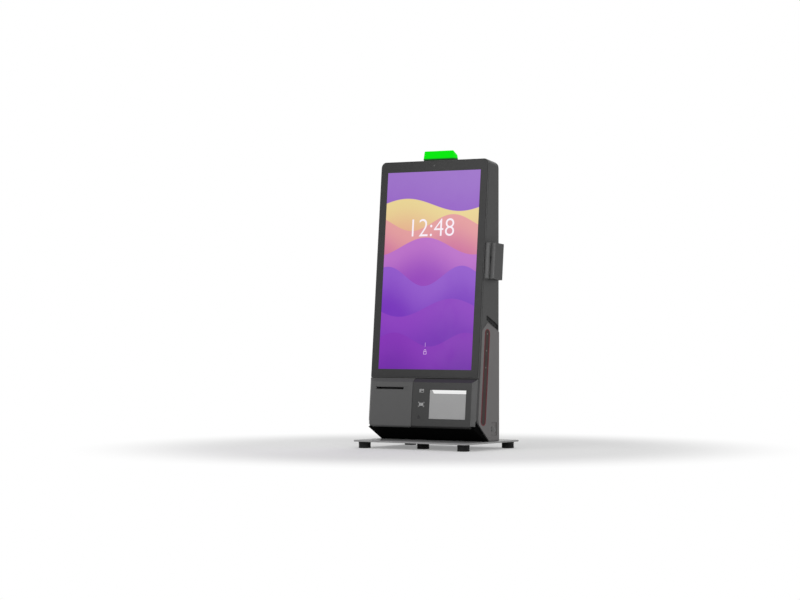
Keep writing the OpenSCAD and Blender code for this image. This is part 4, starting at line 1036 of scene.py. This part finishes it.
    def stencil(self, name: str, faces: Iterable[Outline], place: Matrix, depth: float, finish: Finish,
                body: str = FIXED) -> Object:
        """Makes a thin raised drawing.

        Args:
            name: Name of the piece.
            faces: Its faces, drawn flat.
            place: Matrix that puts it in place, its Z outward.
            depth: How far it stands out.
            finish: Its finish.
            body: Body that it rides on.

        Returns:
            The piece.
        """
        shape = bmesh.new()
        for outline in faces:
            shape.faces.new([shape.verts.new((x, y, 0.0)) for x, y in outline])
        bmesh.ops.remove_doubles(shape, verts=shape.verts[:], dist=WELD)
        rim = [edge.verts[:] for edge in shape.edges if len(edge.link_faces) == 1]
        raised = {vertex: shape.verts.new((*vertex.co.xy, depth)) for vertex in shape.verts[:]}
        for face in shape.faces[:]:
            shape.faces.new([raised[vertex] for vertex in face.verts])
        for start, end in rim:
            shape.faces.new([start, end, raised[end], raised[start]])
        bmesh.ops.recalc_face_normals(shape, faces=shape.faces[:])
        bmesh.ops.transform(shape, matrix=place, verts=shape.verts[:])
        return self.piece(name, self.mesh(name, shape), finish, body)

    @staticmethod
    def lathe(shape: BMesh, profile: Sequence[Point], x: float, y: float, count: int = 56) -> None:
        """Adds a turned form about an upright axis.

        Args:
            shape: Drawing to add to.
            profile: Radius and height in turn, from the axis back to the axis.
            x: Place of the axis across.
            y: Place of the axis in depth.
            count: Number of steps round.
        """
        rings: list[list[BMVert]] = []
        for radius, height in profile:
            if radius == 0.0:
                rings.append([shape.verts.new((x, y, height))] * count)
            else:
                rings.append([shape.verts.new((*spot, height)) for spot in circle(x, y, radius, count)])
        for low, high in zip(rings, rings[1:]):
            for i in range(count):
                corners = [low[i], low[(i + 1) % count], high[(i + 1) % count], high[i]]
                shape.faces.new(list(dict.fromkeys(corners)))
        bmesh.ops.recalc_face_normals(shape, faces=shape.faces[:])

    def islands(self, node: str) -> list[tuple[Vector, Vector]]:
        """Finds the boxes of a packed node's separate solids.

        Args:
            node: Name of the node.

        Returns:
            Low and high corner of each solid.
        """
        shape = self.clean(node)
        left = set(shape.verts)
        boxes: list[tuple[Vector, Vector]] = []
        while left:
            queue = [left.pop()]
            found = []
            while queue:
                vertex = queue.pop()
                found.append(vertex.co.copy())
                near = {edge.other_vert(vertex) for edge in vertex.link_edges} & left
                left -= near
                queue += near
            boxes.append((Vector(map(min, *found)), Vector(map(max, *found))))
        shape.free()
        return sorted(boxes, key=lambda box: tuple(round(part, ndigits=5) for part in box[0]))


def widths(**millimetres: float) -> Widths:
    """Field that gives nodes the widths of their rounding."""
    return field(default_factory=lambda: {node: width * MM for node, width in millimetres.items()})


@dataclass
class SubAssembly:
    """Nodes that get rounded edges, nodes in their slot's finish and nodes in a finish of their own."""

    rounded: Widths = widths()
    painted: Names = ()
    coated: Coats = ()

    def build(self, shop: Workshop) -> None:
        """Rounds and paints the nodes.

        Args:
            shop: Workshop that makes the pieces.
        """
        for node, width in self.rounded.items():
            shop.dress(node, width)
        for node in self.painted:
            shop.paint(node)
        for node, finish in self.coated:
            shop.paint(node, finish)


@dataclass
class Base(SubAssembly):
    """Plate on rubber feet with their screws."""

    rounded: Widths = widths(base_plate=0.5)
    painted: Names = ("base_screws",)
    coated: Coats = (("foot_screws", Palette.PLATE),)
    foot_bevel: float = 1.0 * MM
    groove: float = 0.6 * MM
    groove_levels: Point = (0.35, 0.6)
    bore: float = 2.52 * MM
    bore_foot: float = 5.5 * MM

    def build(self, shop: Workshop) -> None:
        """Makes the plate and the feet.

        Args:
            shop: Workshop that makes the pieces.
        """
        super().build(shop)
        shape = bmesh.new()
        for low, high in shop.islands("feet"):
            middle = (low + high) / 2
            shop.lathe(shape, self.profile((high.x - low.x) / 2, high.z), middle.x, middle.y)
        shop.piece("feet_grooved", shop.mesh("feet_grooved", shape), Palette.RUBBER, FIXED, ("feet",))

    def profile(self, radius: float, height: float) -> list[Point]:
        """Draws half the outline of one foot.

        Args:
            radius: Radius of the foot.
            height: Height of the foot.

        Returns:
            Radius and height in turn.
        """
        outer: list[Point] = [(radius - self.foot_bevel, 0.0), (radius, self.foot_bevel)]
        for share in self.groove_levels:
            level = share * height
            outer += [(radius, level - self.groove), (radius - self.groove, level),
                      (radius - self.groove, level + self.groove), (radius, level + 2 * self.groove)]
        return [(0.0, 0.0), *outer, (radius, height), (self.bore, height), (self.bore, self.bore_foot),
                (0.0, self.bore_foot)]


@dataclass
class Head(SubAssembly):
    """Housing, front frame and what sits behind the glass."""

    rounded: Widths = widths(rear_housing=0.5, front_frame=0.35, vent_grilles=0.25)
    painted: Names = ("lcd_brackets", "camera_module", "speakers", "spine")
    coated: Coats = (("lcd_panel", Palette.CASE),)


@dataclass
class Display(SubAssembly):
    """Touch glass with its border, the lit picture, a clock, a padlock and the camera's ring and pupil."""

    width: float = 267.8 * MM
    height: float = 476.1 * MM
    film: float = 0.05 * MM
    clock: str = "12:48"
    clock_size: float = 62 * MM
    clock_thinning: float = 0.6 * MM
    clock_place: Point = (0.0, 100 * MM)
    lock_place: Point = (-0.5 * MM, -196 * MM)
    lock_half: float = 4.5 * MM
    lock_span: Point = (-6 * MM, 1 * MM)
    lock_line: float = 1.2 * MM
    shackle_radii: Point = (3.2 * MM, 1.9 * MM)
    shackle_rise: float = 3 * MM
    shackle_points: int = 17
    swipe_half: float = 0.5 * MM
    swipe_span: Point = (12 * MM, 22 * MM)
    camera_up: float = 252.05 * MM
    ring_radii: Point = (4.2 * MM, 2.6 * MM)
    ring_points: int = 40
    pupil_radius: float = 1.7 * MM

    def build(self, shop: Workshop) -> None:
        """Makes the display's pieces.

        Args:
            shop: Workshop that makes the pieces.
        """
        self.pane(shop)
        self.digits(shop)
        self.lock(shop)
        ring = band(*(circle(0, 0, radius, self.ring_points) for radius in self.ring_radii))
        place = GLASS.matrix(0, 0, self.camera_up)
        shop.stencil("camera_ring", ring, place, self.film, Palette.PUPIL)
        shop.stencil("camera_pupil", [circle(0, 0, self.pupil_radius)], place, self.film, Palette.LENS)

    def pane(self, shop: Workshop) -> None:
        """Makes the glass and lays the picture out on it.

        Args:
            shop: Workshop that makes the pieces.
        """
        shape = shop.clean("touch_glass")
        turn = GLASS.matrix(0, 0, 0).to_3x3()
        up, out = turn @ Vector((0, 1, 0)), turn @ Vector((0, 0, 1))
        cuts = [(GLASS.at(side * self.width / 2, 0, 0), Vector((1, 0, 0))) for side in (-1, 1)]
        cuts += [(GLASS.at(0, 0, side * self.height / 2), up) for side in (-1, 1)]
        for spot, normal in cuts:
            bmesh.ops.bisect_plane(shape, geom=shape.verts[:] + shape.edges[:] + shape.faces[:],
                                   plane_co=spot, plane_no=normal, dist=WELD / 10)
        layer = shape.loops.layers.uv.new("UVMap")
        for face in shape.faces:
            x, _, s = GLASS.flat(face.calc_center_median())
            if face.normal.dot(out) > ALIGNED and abs(x) < self.width / 2 and abs(s) < self.height / 2:
                face.material_index = 1
            for loop in face.loops:
                x, _, s = GLASS.flat(loop.vert.co)
                loop[layer].uv = (x / self.width + 0.5, s / self.height + 0.5)
        mesh = shop.mesh("touch_glass_lit", shape)
        for finish in (Palette.GLASS, Palette.SCREEN):
            mesh.materials.append(finish.material())
        shop.piece("touch_glass_lit", mesh, Palette.GLASS, FIXED, ("touch_glass",))

    def digits(self, shop: Workshop) -> None:
        """Makes the clock's digits.

        Args:
            shop: Workshop that makes the pieces.
        """
        curve = bpy.data.curves.new("clock_draft", "FONT")
        curve.body = self.clock
        curve.size = self.clock_size
        curve.align_x = "CENTER"
        curve.align_y = "CENTER"
        curve.extrude = self.film / 2
        curve.offset = -self.clock_thinning
        mesh = settle(put("clock_draft", curve))
        bpy.data.curves.remove(curve)
        mesh.name = "clock_digits"
        x, s = self.clock_place
        mesh.transform(GLASS.matrix(x, -self.film / 2, s))
        shop.piece("clock_digits", mesh, Palette.DIGITS, FIXED)

    def lock(self, shop: Workshop) -> None:
        """Makes the padlock and the swipe line above it.

        Args:
            shop: Workshop that makes the pieces.
        """
        half, line = self.lock_half, self.lock_line
        low, high = self.lock_span
        case = band(rectangle(-half, low, half, high),
                    rectangle(line - half, low + line, half - line, high - line))
        arcs = [[(radius, high), *circle(0, self.shackle_rise, radius, self.shackle_points, math.pi),
                 (-radius, high)] for radius in self.shackle_radii]
        swipe = rectangle(-self.swipe_half, self.swipe_span[0], self.swipe_half, self.swipe_span[1])
        x, s = self.lock_place
        shop.stencil("lock_glyph", [*case, *band(*arcs)[:-1], swipe], GLASS.matrix(x, 0, s), self.film,
                     Palette.SIGN)


@dataclass
class LowerFront(SubAssembly):
    """Printer door with its tear bar, and the scanner panel with its window and pictograms."""

    # The light bar takes its slot's glowing finish, a painted reflection.
    rounded: Widths = widths(printer_door=0.6, scanner_panel=0.6, scan_window=0.15, light_bar=0.15,
                             sensor_dot=0.2)
    painted: Names = ("reader_antenna", "scan_engine", "scan_lens", "scan_bracket")
    face: float = -10.5 * MM
    ink: float = 0.04 * MM
    tooth: float = 1.6 * MM
    tooth_rise: float = 1.0 * MM
    card_place: Point = (3.0 * MM, -289.5 * MM)
    card_half: Point = (6 * MM, 3.8 * MM)
    card_rim: float = 0.7 * MM
    stripe_span: Point = (0.8 * MM, 2.0 * MM)
    chip_low: Point = (-4.2 * MM, -1.9 * MM)
    chip_high: Point = (-1.6 * MM, -0.4 * MM)
    code_place: Point = (3.3 * MM, -321.9 * MM)
    code_left: float = -5.6 * MM
    bar_half: float = 3.6 * MM
    bars: tuple[Point, ...] = ((0.6, 0.7), (1.2, 0.6), (0.5, 0.9), (0.9, 0.6),
                               (0.5, 0.7), (1.4, 0.6), (0.6, 0.7), (0.9, 0.5))
    corner: tuple[Point, ...] = ((5.2, 5.6), (5.2, 5.0), (7.8, 5.0), (7.8, 2.8), (8.4, 2.8), (8.4, 5.6))

    def build(self, shop: Workshop) -> None:
        """Makes the lower front.

        Args:
            shop: Workshop that makes the pieces.
        """
        super().build(shop)
        self.tear_bar(shop)
        for name, faces, (x, s) in (("card_pictogram", self.card(), self.card_place),
                                    ("code_pictogram", self.code(), self.code_place)):
            shop.stencil(name, faces, GLASS.matrix(x, self.face, s), self.ink, Palette.INK)

    def tear_bar(self, shop: Workshop) -> None:
        """Makes the serrated tear bar.

        Args:
            shop: Workshop that makes the pieces.
        """
        low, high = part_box("tear_bar")
        corners = [GLASS.flat(Vector(vertex.co)) for vertex in shop.nodes["tear_bar"].data.vertices]
        _, front, bottom = map(min, *corners)
        _, back, top = map(max, *corners)
        left = low.x - GLASS.centre[0]
        count = int((high.x - low.x) / self.tooth)
        step = (high.x - low.x) / count
        root = top - self.tooth_rise
        starts = [left + i * step for i in range(count)]
        faces = [rectangle(start, bottom, start + step, root) for start in starts]
        faces += [[(start, root), (start + step, root), (start + step / 2, top)] for start in starts]
        bar = shop.stencil("tear_bar_toothed", faces, GLASS.matrix(0, back, 0), back - front, Palette.SCREW,
                           "printer_door")
        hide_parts("tear_bar")

    def card(self) -> list[Outline]:
        """Draws a payment card with its stripe and chip.

        Returns:
            Its faces.
        """
        x, y = self.card_half
        inner = x - self.card_rim
        rim = band(rectangle(-x, -y, x, y), rectangle(-inner, self.card_rim - y, inner, y - self.card_rim))
        stripe = rectangle(-inner, self.stripe_span[0], inner, self.stripe_span[1])
        return [*rim, stripe, rectangle(*self.chip_low, *self.chip_high)]

    def code(self) -> list[Outline]:
        """Draws a bar code, as widths and gaps, between corner marks, all given in millimetres.

        Returns:
            Its faces.
        """
        faces: list[Outline] = []
        x = self.code_left
        for width, gap in self.bars:
            faces.append(rectangle(x, -self.bar_half, x + width * MM, self.bar_half))
            x += (width + gap) * MM
        for side, level in ((-1, -1), (-1, 1), (1, -1), (1, 1)):
            faces.append([(side * px * MM, level * py * MM) for px, py in self.corner])
        return faces


@dataclass
class Body(SubAssembly):
    """Lower body: casing, chin, side covers with their light strips, and the recess."""

    rounded: Widths = widths(lower_casing=0.5, chin=0.5, side_cover_left=0.7, side_cover_right=0.7,
                             strip_rings=0.3, strip_lenses=0.3, strip_dots=0.15, power_button=0.4,
                             usb_port=0.15)
    painted: Names = ("power_switch",)


@dataclass
class CardReader(SubAssembly):
    """Swipe reader on the right side of the head."""

    rounded: Widths = widths(card_base=0.6, card_wall=0.8, card_block=1.0)
    coated: Coats = (("card_head", Palette.CASE),)


@dataclass
class StatusLamp(SubAssembly):
    """Glowing lamp on the head."""

    rounded: Widths = widths(lamp_lens=0.7, lamp_base=0.4)
    painted: Names = ("lamp_board",)


@dataclass
class Printer(SubAssembly):
    """Receipt printer behind the door."""

    rounded: Widths = widths(printer_frame=0.3, print_head=0.5, motor_bracket=0.3, roll_spindle=0.4,
                             paper_roll=0.3, print_motor=0.6)
    painted: Names = ("platen", "platen_shaft", "platen_gear", "idler_gear", "idler_pin", "pinion",
                      "motor_shaft", "roll_core_tube")


@dataclass
class RearService(SubAssembly):
    """Boards, power supply, rear hatch and inlet."""

    rounded: Widths = widths(rear_cover=0.5, power_inlet=0.4, rear_screws=0.35)
    painted: Names = ("mainboard", "board_standoffs", "power_supply")


@dataclass(frozen=True)
class SoftLight:
    """Square light that looks at the kiosk's middle."""

    name: str
    place: Place
    size: float
    power: float
    aim: Place = (0.0, 0.0, 0.35)

    def build(self) -> None:
        """Hangs the light."""
        lamp = bpy.data.lights.new(self.name, "AREA")
        lamp.size = self.size
        lamp.energy = self.power
        holder = put(self.name, lamp)
        holder.location = self.place
        holder.rotation_euler = (Vector(self.aim) - Vector(self.place)).to_track_quat("-Z", "Y").to_euler()


@dataclass
class Studio:
    """White room, soft lights and the camera that matches the photograph."""

    lens: float = 112.5
    sensor: float = 36.0
    reach: float = 50.0
    camera_place: Place = (3.3606, -4.9704, 0.3072)
    camera_turn: float = math.radians(34.942)
    camera_shift: float = 0.025
    white: Colour = (1.0, 1.0, 1.0)
    ambient: float = 0.55
    zenith: float = 0.7
    sky_rise: Point = (0.2, 0.9)
    floor_colour: Colour = grey(250)
    floor_lift: float = 0.25
    floor_half: float = 6.0
    floor_fade: Point = (0.45, 0.9)
    lights: tuple[SoftLight, ...] = (SoftLight("key", (2.8, -2.0, 0.9), 1.5, 26.0),
                                     SoftLight("front", (-0.9, -2.6, 1.3), 1.6, 18.0),
                                     SoftLight("back", (-0.5, 2.4, 2.0), 1.8, 20.0))

    def build(self) -> None:
        """Makes the room, the lights and the camera."""
        self.world()
        self.floor()
        for light in self.lights:
            light.build()
        self.camera()
        bpy.context.scene.view_settings.view_transform = "Standard"

    @staticmethod
    def seen(graph: Graph) -> NodeSocket:
        """Finds the share that is 1 for rays that a picture or a reflection shows.

        Args:
            graph: Graph to add to.

        Returns:
            The share.
        """
        path = graph.add("ShaderNodeLightPath").outputs
        shown = graph.math("MAXIMUM", path["Is Camera Ray"], path["Is Glossy Ray"])
        return graph.math("MAXIMUM", shown, path["Is Transmission Ray"])

    def world(self) -> None:
        """Makes the white surroundings, dimmer where they light the kiosk than where they show."""
        world = bpy.data.worlds.new("studio_white")
        bpy.context.scene.world = world
        graph = Graph.blank(world)
        rise = graph.ease(graph.split(graph.place("Generated"))["Z"], *self.sky_rise)
        sky = graph.spread(rise, 1.0, self.zenith)
        lit = graph.spread(self.seen(graph), graph.math("MULTIPLY", sky, self.ambient), sky)
        straight = graph.add("ShaderNodeLightPath").outputs["Is Camera Ray"]
        back = graph.run("ShaderNodeBackground",
                         {"Color": self.white, "Strength": graph.spread(straight, lit, 1.0)})
        graph.wire(graph.add("ShaderNodeOutputWorld"), {"Surface": back})

    def floor(self) -> None:
        """Makes the pale floor, which turns into the white room away from the kiosk."""
        shape = bmesh.new()
        half = self.floor_half
        shape.faces.new([shape.verts.new((x, y, 0.0)) for x, y in rectangle(-half, -half, half, half)])
        mesh = bpy.data.meshes.new("studio_floor")
        shape.to_mesh(mesh)
        shape.free()
        material = bpy.data.materials.new("studio_floor")
        graph = Graph.blank(material)
        spot = graph.split(graph.place())
        away = graph.ease(graph.length(spot["X"], spot["Y"]), *self.floor_fade)
        share = graph.math("MULTIPLY", graph.spread(away, self.floor_lift, 1.0), self.seen(graph))
        matte = graph.run("ShaderNodeBsdfDiffuse", {"Color": self.floor_colour})
        white = graph.run("ShaderNodeEmission", {"Color": self.white})
        mix = graph.run("ShaderNodeMixShader", {0: share, 1: matte, 2: white})
        graph.wire(graph.add("ShaderNodeOutputMaterial"), {"Surface": mix})
        mesh.materials.append(material)
        put("studio_floor", mesh)

    def camera(self) -> None:
        """Makes the camera."""
        lens = bpy.data.cameras.new("camera")
        lens.lens = self.lens
        lens.sensor_width = self.sensor
        lens.shift_y = self.camera_shift
        lens.clip_end = self.reach
        holder = put("camera", lens)
        holder.location = self.camera_place
        holder.rotation_euler = (math.radians(90), 0.0, self.camera_turn)
        bpy.context.scene.camera = holder


def main() -> None:
    """Builds every sub-assembly and the studio."""
    logging.basicConfig(level=logging.INFO, format="%(name)s: %(message)s")
    shop = Workshop()
    for part in (Base(), Head(), Display(), LowerFront(), Body(), CardReader(), StatusLamp(), Printer(),
                 RearService()):
        log.info("sub-assembly %s", type(part).__name__)
        part.build(shop)
    Studio().build()


if __name__ == "__main__":
    main()
